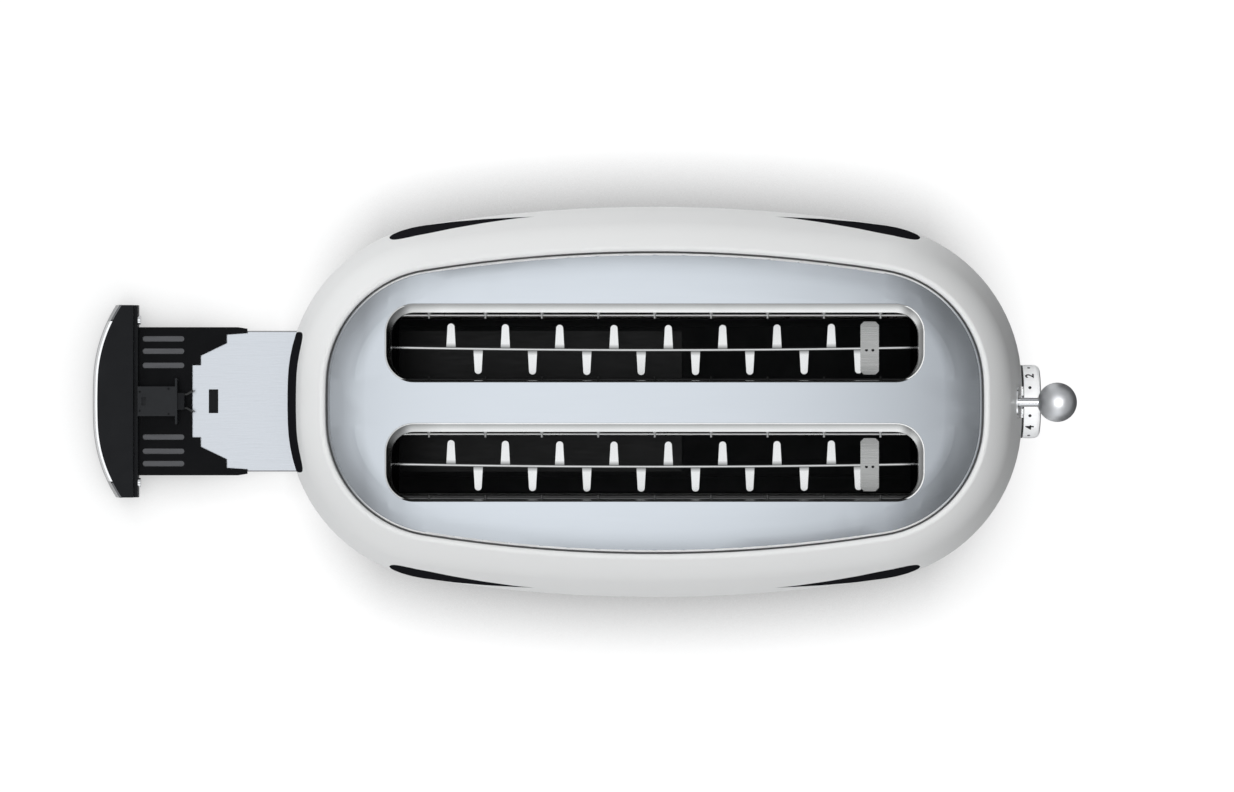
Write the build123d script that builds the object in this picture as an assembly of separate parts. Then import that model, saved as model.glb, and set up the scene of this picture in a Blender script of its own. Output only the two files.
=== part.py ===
from build123d import *
import os
from math import asin, cos, degrees, radians, sin, sqrt, tan

# Toaster with two long slots. Millimetres, +Z up, +X the control end, -X the crumb tray end.
# Right is +Y and left is -Y, as seen by someone who faces the controls.
# Everything is drawn about the middle of the body, on the surface it stands on.
# The export moves it so that the origin is the middle of the whole footprint, tray pulled out.

# Body outline: a long oval of side arcs, end arcs and corner arcs, all tangent
LENGTH = 392.8
WIDTH = 209.2
HEIGHT = 215.0
CORNER_INSET = 18.0
SIDE_ARC_ANGLE = 9.13
END_ARC_ANGLE = 2.14

# Body shell, as insets from the widest outline and heights
SHELL_WALL = 1.2
SHELL_FOOT_Z = 24.0
SHELL_FOOT_INSET = 8.0
BELLY_Z = 85.0
SHOULDER_RADIUS = 45.0
RIM_SLOPE = 45.0
RIM_ROLL_RADIUS = 1.8
RIM_INSET = 26.4
RIM_FLOOR_Z = HEIGHT - 8.0

# Top panel and the ring that carries it
GROOVE = 1.0
PANEL_SHEET = 1.0
PANEL_DROP = 2.0
PANEL_FLAT_INSET = 47.0
PANEL_EDGE_RADIUS = 1.5
PANEL_EDGE_ANGLE = 8.0
RING_DEPTH = 3.0

# Bread slots and their liners
SLOT_LENGTH = 278.6
SLOT_WIDTH = 40.7
SLOT_SPACING = 61.6
SLOT_CORNER = 15.0
LINER_CLEARANCE = 0.1
LINER_PROUD = 0.4
LINER_WALL = 0.8
LINER_DEPTH = 13.4
LINER_NOTCH = 0.5
LIP_DEPTH = 3.0
LIP_SIDE = 4.6
LIP_END = 3.0
LIP_INNER = 1.0

# Toasting chambers
CHAMBER_SHIFT = -2.25
PLATE_INSET = 56.4
PLATE_SHEET = 1.2
PLATE_HALF_WIDTH = 64.0
GRID_HALF_GAP = 16.8
GRID_TOP_Z = HEIGHT - 18.0
GRID_PIVOT_Z = 72.0
GRID_PITCH = 29.26
GRID_UPRIGHTS = 9
GRID_WIRE = 1.6
UPRIGHT_WIRE = 1.4
CROSS_WIRE = 1.2
GRID_CROSS = 3.6
PIVOT_CLEARANCE = 0.05
BOARD_GAP = 4.2
MICA_SHEET = 0.6
MICA_LOW_Z = 76.0
RIBBON_WIDTH = 1.8
RIBBON_SHEET = 0.4
RIBBON_ROWS = 9
RIBBON_HALF_LENGTH = 125.0
REFLECTOR_GAP = 8.0
REFLECTOR_SHEET = 0.6
REFLECTOR_LOW_Z = 40.0

# Bread racks and carriage, with the lever up
RACK_TOP_Z = 139.0
RACK_SHEET = 1.2
RACK_STRIP = 11.0
RACK_TONGUE = 5.0
RACK_SHIFT = -1.05
RACK_BOW = 1.3
RACK_HALF_LENGTH = 135.0
FINGER_PITCH = 28.7
FINGERS_PER_SIDE = 8
FINGER_LENGTH = 13.2
FINGER_ROOT = 5.0
FINGER_TIP = 3.7
CROSS_PLATE_X = 113.5
CROSS_PLATE_LENGTH = 9.7
CROSS_PLATE_WIDTH = 28.0
CROSS_PLATE_CHAMFER = 1.8
LEVER_TRAVEL = 62.0
CARRIAGE_INSET = 49.4
CARRIAGE_SHEET = 2.0
GUIDE_ROD_INSET = 40.4
GUIDE_ROD_SPACING = 40.0
GUIDE_ROD_DIAMETER = 5.0
SLIDE_CLEARANCE = 0.08
HUB_DIAMETER = 11.0
HUB_LENGTH = 24.0
ROD_TAB_LOW_Z = 40.0
ROD_TAB_HIGH_Z = HEIGHT - 23.0
MAGNET_HEIGHT = 20.0
MAGNET_GAP = 0.3
SPRING_DIAMETER = 7.0
SPRING_WIRE = 0.9

# Lever
LEVER_Z = 160.0
LEVER_BAR_HEIGHT = 8.0
LEVER_BAR_SHEET = 3.0
STEM_DIAMETER = 4.8
STEM_START_INSET = 16.4
BALL_DIAMETER = 20.7
BALL_REACH = 14.8
BALL_SOCKET = 5.0
LEVER_SLOT_WIDTH = 7.0
LEVER_SLOT_MARGIN = 8.0
SLOT_TRIM_WIDTH = 4.7
SLOT_TRIM_SHEET = 0.8

# Browning dial and its board
DIAL_Z = 62.0
DIAL_DIAMETER = 39.4
DIAL_REACH = 11.6
DIAL_GAP = 0.8
DIAL_WALL = 2.4
DIAL_EDGE_RADIUS = 3.0
SHAFT_DIAMETER = 6.0
SHAFT_CLEARANCE = 0.05
DIAL_HUB_DIAMETER = 11.0
DIAL_HOLE_DIAMETER = 14.0
BOARD_INSET = 20.4
BOARD_SHEET = 1.6
BOARD_HALF_WIDTH = 46.0
BOARD_LOW_Z = 28.0
BOARD_HIGH_Z = 84.0
STANDOFF_Y = 42.0
STANDOFF_DIAMETER = 6.0

# Buttons, on an arc below the dial
BUTTON_ARC_RADIUS = 28.5
BUTTON_ANGLES = {"reheat": 210.0, "defrost": 270.0, "bagel": 330.0}
BUTTON_DIAMETER = 10.0
BUTTON_CLEARANCE = 0.2
BUTTON_TRAVEL = 1.5
BUTTON_PROUD = 3.2
BEZEL_PROUD = 1.6
BEZEL_WALL = 1.4
BEZEL_LENGTH = 6.5
SWITCH_SIZE = 6.0
SWITCH_HEIGHT = 4.0

# Base
FLOOR_Z = 5.0
FLOOR_SHEET = 2.5
TUB_WALL = 2.5
SPIGOT_HEIGHT = 2.4
BAND_LOW_Z = 8.0
BAND_TOP_Z = 22.8
BAND_LOW_INSET = 5.2
BAND_TOP_INSET = 8.0
BAND_SHEET = 1.0
FOOT_DIAMETER = 18.0
FOOT_X = 118.0
FOOT_Y = 62.0
SCREW_DIAMETER = 3.0
SCREW_HEAD = 6.0
SCREW_CLEARANCE = 0.1
GLAND_ANGLE = 222.0
GLAND_Z = 15.5
GLAND_BORE = 7.4
GLAND_BODY = 10.0
GLAND_FLANGE = 13.0

# Crumb tray, pulled out by TRAY_OUT
TRAY_OUT = 118.0
TRAY_PLATE_WIDTH = 77.4
TRAY_PLATE_SHEET = 0.8
TRAY_PLATE_Z = 9.5
TRAY_PLATE_LENGTH = 297.0
TRAY_FRAME_SHEET = 2.5
TRAY_FRAME_WIDTH = 81.4
TRAY_FRONT_WIDTH = 105.7
TRAY_FRONT_CLEARANCE = 0.3
TRAY_FRONT_DEPTH = 22.8
TRAY_STEP_WIDTH = 2.2
TRAY_STEP_DROP = 5.0
TRAY_HOLE_START = 38.4
TRAY_HOLE_LENGTH = 5.2
TRAY_HOLE_WIDTH = 13.1
TRAY_FRONT_LOW_Z = 8.0
TRAY_FRONT_TOP_Z = 22.6
TRAY_FRONT_WALL = 2.2
TRAY_GUIDE_GAP = 0.5
ARM_LENGTH = 59.7
VENT_LENGTH = 23.2
VENT_WIDTH = 3.0
VENT_START = 1.9
VENT_OFFSETS = (19.7, 27.5, 34.3)
LATCH_LENGTH = 20.7
LATCH_DIMPLE = 1.2
LATCH_DIMPLE_DEPTH = 1.2
LATCH_WINDOW_LENGTH = 2.3
LATCH_WINDOW_WIDTH = 4.4
LATCH_WIDTH = 16.2
LATCH_TOP_Z = 21.5
LATCH_FLANGE_WIDTH = 25.2
LATCH_FLANGE_SHEET = 1.1
PLUNGER_WIDTH = 9.2
PLUNGER_HEIGHT = 6.0
PLUNGER_CLEARANCE = 0.15
PLUNGER_REACH = 3.8
PLUNGER_TRAVEL = 4.0
CLAW_REACH = 5.0
CLAW_SPREAD = 2.1
CLAW_SHEET = 0.9
CLAW_HEIGHT = 2.4
STRIKER_GAP = 1.0

# Worked out from the sizes above
HALF_LENGTH = LENGTH / 2
PLATE_X = HALF_LENGTH - PLATE_INSET
CARRIAGE_X = HALF_LENGTH - CARRIAGE_INSET
GUIDE_ROD_X = HALF_LENGTH - GUIDE_ROD_INSET
STEM_START_X = HALF_LENGTH - STEM_START_INSET
BALL_X = HALF_LENGTH + BALL_REACH
DIAL_FRONT_X = HALF_LENGTH + DIAL_REACH
BOARD_X = HALF_LENGTH - BOARD_INSET
HALF_WIDTH = WIDTH / 2
CORNER_RADIUS = HALF_WIDTH - CORNER_INSET
SIDE_SIN = sin(radians(SIDE_ARC_ANGLE))
SIDE_DROP = 1 - cos(radians(SIDE_ARC_ANGLE))
END_SIN = sin(radians(END_ARC_ANGLE))
END_DROP = 1 - cos(radians(END_ARC_ANGLE))
OVAL_LONG = HALF_LENGTH - CORNER_RADIUS
OVAL_DET = SIDE_DROP * END_DROP - END_SIN * SIDE_SIN
SIDE_EXTRA = (CORNER_INSET * END_DROP - END_SIN * OVAL_LONG) / OVAL_DET
END_EXTRA = (SIDE_DROP * OVAL_LONG - SIDE_SIN * CORNER_INSET) / OVAL_DET
SIDE_RADIUS = CORNER_RADIUS + SIDE_EXTRA
END_RADIUS = CORNER_RADIUS + END_EXTRA
CORNER_X = SIDE_EXTRA * SIDE_SIN
CORNER_Y = END_EXTRA * END_SIN
END_X = HALF_LENGTH - END_RADIUS
SIDE_Y = HALF_WIDTH - SIDE_RADIUS

LOWER_RADIUS = ((BELLY_Z - SHELL_FOOT_Z) ** 2 + SHELL_FOOT_INSET ** 2) / (2 * SHELL_FOOT_INSET)
LOWER_ANGLE = degrees(asin((BELLY_Z - SHELL_FOOT_Z) / LOWER_RADIUS))
RIM_HEADING = 180 - RIM_SLOPE
RIM_RISE = RIM_ROLL_RADIUS * (1 - cos(radians(RIM_SLOPE)))
SHOULDER_END_INSET = RIM_INSET - RIM_ROLL_RADIUS * (1 + sin(radians(RIM_SLOPE)))
SHOULDER_INSET = SHOULDER_END_INSET + SHOULDER_RADIUS * sin(radians(RIM_SLOPE))
SHOULDER_Z = HEIGHT - RIM_RISE - SHOULDER_RADIUS * cos(radians(RIM_SLOPE))
UPPER_RADIUS = (SHOULDER_INSET ** 2 + (SHOULDER_Z - BELLY_Z) ** 2 - SHOULDER_RADIUS ** 2) / (
    2 * (SHOULDER_INSET - SHOULDER_RADIUS))
UPPER_ANGLE = degrees(asin((SHOULDER_Z - BELLY_Z) / (UPPER_RADIUS - SHOULDER_RADIUS)))

PANEL_INSET = RIM_INSET + GROOVE
PANEL_Z = HEIGHT - PANEL_DROP
RING_LOW_Z = RIM_FLOOR_Z - RING_DEPTH
LINER_TOP_Z = PANEL_Z + LINER_PROUD
TUB_INSET = BAND_TOP_INSET + BAND_SHEET
FLOOR_TOP_Z = FLOOR_Z + FLOOR_SHEET
PLATE_OUTER_X = PLATE_X + PLATE_SHEET
ROD_Y = GUIDE_ROD_SPACING / 2
CARRIAGE_LOW_Z = RACK_TOP_Z - RACK_STRIP - 2.0
HUB_TOP_Z = CARRIAGE_LOW_Z + HUB_LENGTH
MAGNET_TOP_Z = ROD_TAB_LOW_Z + MAGNET_HEIGHT
ARMATURE_LOW_Z = MAGNET_TOP_Z + MAGNET_GAP + LEVER_TRAVEL
LEVER_SLOT_HALF = LEVER_TRAVEL / 2 + LEVER_SLOT_MARGIN
LEVER_SLOT_Z = LEVER_Z - LEVER_TRAVEL / 2
DIAL_BACK_X = HALF_LENGTH + DIAL_GAP
TRAY_OUTER_X = -(HALF_LENGTH - BAND_LOW_INSET) - TRAY_OUT
TRAY_ROOT_X = TRAY_OUTER_X + (BAND_TOP_INSET - BAND_LOW_INSET) + TRAY_FRONT_DEPTH
TRAY_FRAME_Z = TRAY_PLATE_Z + TRAY_PLATE_SHEET
TRAY_FRAME_TOP_Z = TRAY_FRAME_Z + TRAY_FRAME_SHEET
TRAY_BAY_HALF = TRAY_FRONT_WIDTH / 2 + TRAY_FRONT_CLEARANCE
ORIGIN_X = -(TRAY_OUTER_X + BALL_X + BALL_DIAMETER / 2) / 2

SIDES = {"right": 1, "left": -1}

# The eight arcs of the outline, anticlockwise: centre x, centre y, radius, start angle, sweep
CORNER_SWEEP = 90 - SIDE_ARC_ANGLE - END_ARC_ANGLE
FRONT_END = (END_X, 0, END_RADIUS, -END_ARC_ANGLE, 2 * END_ARC_ANGLE)
FRONT_RIGHT = (CORNER_X, CORNER_Y, CORNER_RADIUS, END_ARC_ANGLE, CORNER_SWEEP)
RIGHT_SIDE = (0, SIDE_Y, SIDE_RADIUS, 90 - SIDE_ARC_ANGLE, 2 * SIDE_ARC_ANGLE)
REAR_RIGHT = (-CORNER_X, CORNER_Y, CORNER_RADIUS, 90 + SIDE_ARC_ANGLE, CORNER_SWEEP)
REAR_END = (-END_X, 0, END_RADIUS, 180 - END_ARC_ANGLE, 2 * END_ARC_ANGLE)
REAR_LEFT = (-CORNER_X, -CORNER_Y, CORNER_RADIUS, 180 + END_ARC_ANGLE, CORNER_SWEEP)
LEFT_SIDE = (0, -SIDE_Y, SIDE_RADIUS, 270 - SIDE_ARC_ANGLE, 2 * SIDE_ARC_ANGLE)
FRONT_LEFT = (CORNER_X, -CORNER_Y, CORNER_RADIUS, 270 + SIDE_ARC_ANGLE, CORNER_SWEEP)
OVAL = (FRONT_END, FRONT_RIGHT, RIGHT_SIDE, REAR_RIGHT, REAR_END, REAR_LEFT, LEFT_SIDE, FRONT_LEFT)
FRONT_ARCS = (FRONT_LEFT, FRONT_END, FRONT_RIGHT)
REAR_ARCS = (REAR_RIGHT, REAR_END, REAR_LEFT)

os.makedirs("parts", exist_ok=True)


# Drawing helpers

def save(node, *shapes):
    """Write one node, moved to the footprint's middle."""
    solids = [solid for shape in shapes for solid in shape.solids()]
    body = solids[0] if len(solids) == 1 else Compound(solids)
    export_step(Pos(ORIGIN_X, 0, 0) * body, f"parts/{node}.step")


def block(x_range, y_range, z_range):
    """Box between two values on each axis."""
    size = [high - low for low, high in (x_range, y_range, z_range)]
    middle = [(low + high) / 2 for low, high in (x_range, y_range, z_range)]
    return Pos(*middle) * Box(*size)


def rod_x(y, z, radius, x_range):
    """Round bar along X."""
    low, high = x_range
    return Pos((low + high) / 2, y, z) * Rot(0, 90, 0) * Cylinder(radius, high - low)


def rod_y(x, z, radius, y_range):
    """Round bar along Y."""
    low, high = y_range
    return Pos(x, (low + high) / 2, z) * Rot(90, 0, 0) * Cylinder(radius, high - low)


def rod_z(x, y, radius, z_range):
    """Round bar along Z."""
    low, high = z_range
    return Pos(x, y, (low + high) / 2) * Cylinder(radius, high - low)


def prism_x(sketch, x_range):
    """Push a sketch drawn in (Y, Z) along X."""
    low, high = x_range
    return extrude(Plane.YZ.offset(low) * sketch, high - low)


def prism_z(sketch, z_range):
    """Push a sketch drawn in (X, Y) along Z."""
    low, high = z_range
    return extrude(Pos(0, 0, low) * sketch, high - low)


def chain(start, heading, steps, shift):
    """Edges along straight runs and tangent arcs, moved to their left by shift, and their two ends."""
    x, y = start
    edges = []
    ends = []
    for size, turn in steps:
        side = 1 if turn >= 0 else -1
        left = (-sin(radians(heading)), cos(radians(heading)))
        ends.append((x + shift * left[0], y + shift * left[1]))
        if turn == 0:
            x += size * cos(radians(heading))
            y += size * sin(radians(heading))
            edges.append(Line(ends[-1], (x + shift * left[0], y + shift * left[1])))
        else:
            centre = (x + side * size * left[0], y + side * size * left[1])
            edges.append(CenterArc(centre, size - side * shift, heading - 90 * side, turn))
            heading += turn
            x = centre[0] + size * cos(radians(heading - 90 * side))
            y = centre[1] + size * sin(radians(heading - 90 * side))
    left = (-sin(radians(heading)), cos(radians(heading)))
    ends.append((x + shift * left[0], y + shift * left[1]))
    return edges, ends[0], ends[-1]


def band(start, heading, steps, near, far):
    """Face between a chain moved to its left by near and the same chain moved by far."""
    first, first_start, first_end = chain(start, heading, steps, near)
    second, second_start, second_end = chain(start, heading, steps, far)
    return make_face(first + second + [Line(first_start, second_start), Line(first_end, second_end)])


def section_box(inset_range, z_range):
    """Rectangle of a ring's section: insets from the outline, and heights."""
    low, high = inset_range
    bottom, top = z_range
    return Pos(-(low + high) / 2, (bottom + top) / 2) * Rectangle(high - low, top - bottom)


def ring(section, arcs=OVAL):
    """Carry a section, drawn in (minus inset, Z), round the arcs of the outline."""
    pieces = []
    for centre_x, centre_y, radius, start, sweep in arcs:
        along = (cos(radians(start)), sin(radians(start)), 0)
        across = (along[1], -along[0], 0)
        plane = Plane(origin=(centre_x, centre_y, 0), x_dir=along, z_dir=across)
        axis = Axis((centre_x, centre_y, 0), (0, 0, 1))
        pieces.append(revolve(plane * (Pos(radius, 0) * section), axis, sweep))
    return pieces[0].fuse(*pieces[1:]).clean()


def oval(inset):
    """The outline as a flat face, moved inward by inset."""
    arcs = [CenterArc((cx, cy), radius - inset, start, sweep) for cx, cy, radius, start, sweep in OVAL]
    return make_face(arcs)


def outline_x(inset, y):
    """How far the outline, moved inward by inset, reaches in X at one Y."""
    if abs(y) <= (END_RADIUS - inset) * END_SIN:
        return END_X + sqrt((END_RADIUS - inset) ** 2 - y ** 2)
    return CORNER_X + sqrt((CORNER_RADIUS - inset) ** 2 - (abs(y) - CORNER_Y) ** 2)


def shell_inset(z):
    """Inset of the shell's outer face at one height, up to the shoulder."""
    radius = LOWER_RADIUS if z < BELLY_Z else UPPER_RADIUS
    return radius - sqrt(radius ** 2 - (z - BELLY_Z) ** 2)


def chamber_y(side):
    """Middle of one toasting chamber."""
    return side * SLOT_SPACING / 2 + CHAMBER_SHIFT


def slot_face(y, grow=0.0):
    """Outline of one bread slot, grown on all sides."""
    return Pos(0, y) * RectangleRounded(SLOT_LENGTH + 2 * grow, SLOT_WIDTH + 2 * grow, SLOT_CORNER + grow)


def button_place(angle):
    """Y and Z of a button on its arc below the dial."""
    return BUTTON_ARC_RADIUS * cos(radians(angle)), DIAL_Z + BUTTON_ARC_RADIUS * sin(radians(angle))


def shell_x(y, z):
    """X of the shell's outer face at the control end."""
    return outline_x(shell_inset(z), y)


# Body

SHELL_START = (-SHELL_FOOT_INSET, SHELL_FOOT_Z)
SHELL_HEADING = 90 - LOWER_ANGLE
RIM_LIP = HEIGHT - RIM_ROLL_RADIUS - RIM_FLOOR_Z
SHELL_STEPS = (
    (LOWER_RADIUS, LOWER_ANGLE),
    (UPPER_RADIUS, UPPER_ANGLE),
    (SHOULDER_RADIUS, RIM_HEADING - 90 - UPPER_ANGLE),
    (RIM_ROLL_RADIUS, 270 - RIM_HEADING),
    (RIM_LIP, 0),
)


def lever_slot(grow, x_range):
    """Upright slot for the lever, through the control end."""
    width = LEVER_SLOT_WIDTH + 2 * grow
    height = 2 * LEVER_SLOT_HALF + 2 * grow
    return prism_x(Pos(0, LEVER_SLOT_Z) * SlotOverall(height, width, rotation=90), x_range)


def body_shell():
    """Thin painted shell with a bulged side, a round shoulder and a rolled rim."""
    shell = ring(band(SHELL_START, SHELL_HEADING, SHELL_STEPS, 0, SHELL_WALL))
    front = (CORNER_X, HALF_LENGTH + 5)
    shell -= lever_slot(0, front)
    shell -= rod_x(0, DIAL_Z, DIAL_HOLE_DIAMETER / 2, front)
    for angle in BUTTON_ANGLES.values():
        y, z = button_place(angle)
        shell -= rod_x(y, z, bezel_radius() + BUTTON_CLEARANCE, front)
    return shell


def lever_slot_trim():
    """Bright border round the lever slot, lying on the shell."""
    skin = ring(band(SHELL_START, SHELL_HEADING, SHELL_STEPS[:2], -SLOT_TRIM_SHEET, 0), FRONT_ARCS)
    reach = (CORNER_X, HALF_LENGTH + 5)
    return skin & (lever_slot(SLOT_TRIM_WIDTH, reach) - lever_slot(0, reach))


def top_panel():
    """Brushed steel panel, flat in the middle and bent down round its edge."""
    flat = prism_z(oval(PANEL_FLAT_INSET), (PANEL_Z - PANEL_SHEET, PANEL_Z))
    slope = sin(radians(PANEL_EDGE_ANGLE))
    span = PANEL_FLAT_INSET - PANEL_INSET
    dome = (span - PANEL_EDGE_RADIUS * (1 - slope)) / slope
    dome_drop = dome * (1 - cos(radians(PANEL_EDGE_ANGLE)))
    flange_top = PANEL_Z - dome_drop - PANEL_EDGE_RADIUS * cos(radians(PANEL_EDGE_ANGLE))
    steps = (
        (dome, -PANEL_EDGE_ANGLE),
        (PANEL_EDGE_RADIUS, PANEL_EDGE_ANGLE - 90),
        (flange_top - RIM_FLOOR_Z, 0),
    )
    panel = flat + ring(band((-PANEL_FLAT_INSET, PANEL_Z), 0, steps, 0, -PANEL_SHEET))
    for side in SIDES.values():
        panel -= prism_z(slot_face(side * SLOT_SPACING / 2), (PANEL_Z - 10, PANEL_Z + 5))
    return panel


def panel_support_ring():
    """Black ring under the groove that carries the shell's lip and the panel's edge."""
    return ring(section_box((RIM_INSET - SHELL_WALL, PANEL_INSET + PANEL_SHEET), (RING_LOW_Z, RIM_FLOOR_Z)))


def liner_low_face(y, grow):
    """Lower opening of a liner: drawn in by the lip on its ends and its +Y side."""
    length = SLOT_LENGTH - 2 * LIP_END + 2 * grow
    width = SLOT_WIDTH - LIP_SIDE - LIP_INNER + 2 * grow
    middle = y + (LIP_INNER - LIP_SIDE) / 2
    return Pos(0, middle) * RectangleRounded(length, width, SLOT_CORNER - LIP_END + grow)


def slot_liner(side):
    """Pressed sheet lining of one slot: a slanted lip over an upright skirt."""
    y = side * SLOT_SPACING / 2
    low_z = LINER_TOP_Z - LINER_DEPTH
    neck_z = LINER_TOP_Z - LIP_DEPTH
    hem_z = PANEL_Z - PANEL_SHEET
    outer = prism_z(slot_face(y, -LINER_CLEARANCE), (hem_z, LINER_TOP_Z))
    outer += loft([Pos(0, 0, neck_z - LINER_WALL) * liner_low_face(y, LINER_WALL),
                   Pos(0, 0, hem_z) * slot_face(y, -LINER_CLEARANCE)], ruled=True)
    outer += prism_z(liner_low_face(y, LINER_WALL), (low_z, neck_z - LINER_WALL))
    inner = loft([Pos(0, 0, neck_z) * liner_low_face(y, 0),
                  Pos(0, 0, LINER_TOP_Z) * slot_face(y, -LINER_WALL)], ruled=True)
    inner += prism_z(liner_low_face(y, 0), (low_z, neck_z))
    return outer - inner


# Base

def gland_plane():
    """Plane on the base wall where the cord leaves, facing outward."""
    c, s = cos(radians(GLAND_ANGLE)), sin(radians(GLAND_ANGLE))
    reach = CORNER_RADIUS - TUB_INSET
    origin = (-CORNER_X + reach * c, -CORNER_Y + reach * s, GLAND_Z)
    return Plane(origin=origin, x_dir=(0, 0, 1), z_dir=(c, s, 0))


def gland_rod(radius, low, high):
    """Round bar along the cord's way out, measured from the tub wall's outer face."""
    return gland_plane() * (Pos(0, 0, (low + high) / 2) * Cylinder(radius, high - low))


def base_tub():
    """Black base: floor, wall, ledge and spigot for the shell, runners for the tray."""
    wall_inset = TUB_INSET + TUB_WALL
    tub = prism_z(oval(TUB_INSET), (FLOOR_Z, SHELL_FOOT_Z - 1))
    tub += prism_z(oval(SHELL_FOOT_INSET - 0.5), (SHELL_FOOT_Z - 1, SHELL_FOOT_Z))
    tub += prism_z(oval(SHELL_FOOT_INSET + SHELL_WALL + 0.2), (SHELL_FOOT_Z, SHELL_FOOT_Z + SPIGOT_HEIGHT))
    tub -= prism_z(oval(wall_inset), (FLOOR_TOP_Z, SHELL_FOOT_Z + 5))
    bay = (TRAY_FRONT_LOW_Z - TRAY_FRONT_CLEARANCE, TRAY_FRONT_TOP_Z + TRAY_FRONT_CLEARANCE)
    tub -= block((-LENGTH, -CORNER_X), (-TRAY_BAY_HALF, TRAY_BAY_HALF), bay)
    guide_y = TRAY_FRAME_WIDTH / 2 + TRAY_GUIDE_GAP
    runner_y = TRAY_PLATE_WIDTH / 2 - 6
    for side in SIDES.values():
        guide = sorted((side * guide_y, side * (guide_y + 2)))
        runner = sorted((side * runner_y, side * (runner_y + 3)))
        tub += block((-PLATE_X, PLATE_X), guide, (FLOOR_TOP_Z, TRAY_FRAME_TOP_Z + 2))
        tub += block((-PLATE_X - 15, PLATE_X), runner, (FLOOR_TOP_Z, TRAY_PLATE_Z - 0.3))
    tub -= gland_rod(GLAND_BODY / 2 + SCREW_CLEARANCE, -TUB_WALL - 5, 5)
    for x, y in screw_places():
        tub -= rod_z(x, y, SCREW_DIAMETER / 2 + SCREW_CLEARANCE, (FLOOR_Z - 1, FLOOR_TOP_Z + 1))
    return tub


def band_section(near, far):
    """Section of the base band: a straight slope that leans in towards its top."""
    rise = BAND_TOP_Z - BAND_LOW_Z
    lean = BAND_TOP_INSET - BAND_LOW_INSET
    length = sqrt(rise ** 2 + lean ** 2)
    heading = 90 + degrees(asin(lean / length))
    return band((-BAND_LOW_INSET, BAND_LOW_Z), heading, ((length, 0),), near, far)


def base_band():
    """Bright band round the base, open where the tray front closes."""
    strip = ring(band_section(0, BAND_SHEET))
    strip -= block((-LENGTH, -CORNER_X), (-TRAY_BAY_HALF, TRAY_BAY_HALF), (0, SHELL_FOOT_Z))
    return strip - gland_rod(GLAND_FLANGE / 2 + BUTTON_CLEARANCE, -1, 10)


def cord_gland():
    """Rubber gland in the base wall, with the bore that the mains cord takes."""
    wall_radius = CORNER_RADIUS - TUB_INSET - TUB_WALL
    curve = wall_radius - sqrt(wall_radius ** 2 - (GLAND_FLANGE / 2) ** 2)
    inside = -TUB_WALL - curve
    gland = gland_rod(GLAND_BODY / 2, inside - 2.5, 4.5)
    gland += gland_rod(GLAND_FLANGE / 2, 0, 3.5)
    gland += gland_rod(GLAND_FLANGE / 2, inside - 2.5, inside)
    return gland - gland_rod(GLAND_BORE / 2, inside - 3, 5)


def rubber_feet():
    """Four feet, with a soft edge where they stand."""
    foot = Cylinder(FOOT_DIAMETER / 2, FLOOR_Z)
    foot = chamfer(foot.edges().group_by(Axis.Z)[0], 0.8)
    return [Pos(x, y, FLOOR_Z / 2) * foot for x in (-FOOT_X, FOOT_X) for y in (-FOOT_Y, FOOT_Y)]


def screw_places():
    """Where the base is screwed to the chassis plates."""
    x = PLATE_OUTER_X + 5
    y = PLATE_HALF_WIDTH - 9
    return [(x, y), (x, -y), (-x, y), (-x, -y)]


def base_screws():
    """Pan-head screws from below, through the floor and the chassis plates' feet."""
    screws = []
    for x, y in screw_places():
        head = rod_z(x, y, SCREW_HEAD / 2, (FLOOR_Z - 1.8, FLOOR_Z))
        head -= block((x - SCREW_HEAD, x + SCREW_HEAD), (y - 0.4, y + 0.4), (FLOOR_Z - 1.9, FLOOR_Z - 1.2))
        screws.append(head + rod_z(x, y, SCREW_DIAMETER / 2, (FLOOR_Z - 0.2, FLOOR_TOP_Z + 4)))
    return screws


# Chassis and toasting chambers

def rail_end_y(side):
    """Y of a rack's rail at its two ends, where the bow brings it back."""
    return chamber_y(side) + RACK_SHIFT + RACK_BOW


def chassis_plate(end):
    """Upright end plate of the chambers, with slots for the rails and holes for the grid wires."""
    x_range = sorted((end * PLATE_X, end * PLATE_OUTER_X))
    low_z = SHELL_FOOT_Z
    half = PLATE_HALF_WIDTH
    plate = block(x_range, (-half, half), (low_z, RING_LOW_Z))
    foot_x = sorted((end * PLATE_X, end * (PLATE_OUTER_X + 10)))
    for side in SIDES.values():
        leg = sorted((side * (half - 14), side * (half - 4)))
        plate += block(x_range, leg, (FLOOR_TOP_Z, low_z))
        plate += block(foot_x, leg, (FLOOR_TOP_Z, FLOOR_TOP_Z + PLATE_SHEET))
        rail = rail_end_y(side)
        low = RACK_TOP_Z - RACK_STRIP - LEVER_TRAVEL - 3
        high = RACK_TOP_Z - RACK_STRIP + RACK_TONGUE + 3
        plate -= block((-LENGTH, LENGTH), (rail - 2, rail + 2), (low, high))
        for grid_y in (chamber_y(side) - GRID_HALF_GAP, chamber_y(side) + GRID_HALF_GAP):
            plate -= rod_x(grid_y, GRID_PIVOT_Z, GRID_WIRE / 2 + PIVOT_CLEARANCE, (-LENGTH, LENGTH))
    for x, y in screw_places():
        plate -= rod_z(x, y, SCREW_DIAMETER / 2 + SCREW_CLEARANCE, (FLOOR_Z, FLOOR_TOP_Z + 3))
    notch_z = (LINER_TOP_Z - LINER_DEPTH - LINER_NOTCH, HEIGHT)
    for side in SIDES.values():
        plate -= prism_z(slot_face(side * SLOT_SPACING / 2, LINER_NOTCH), notch_z)
    return plate


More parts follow.
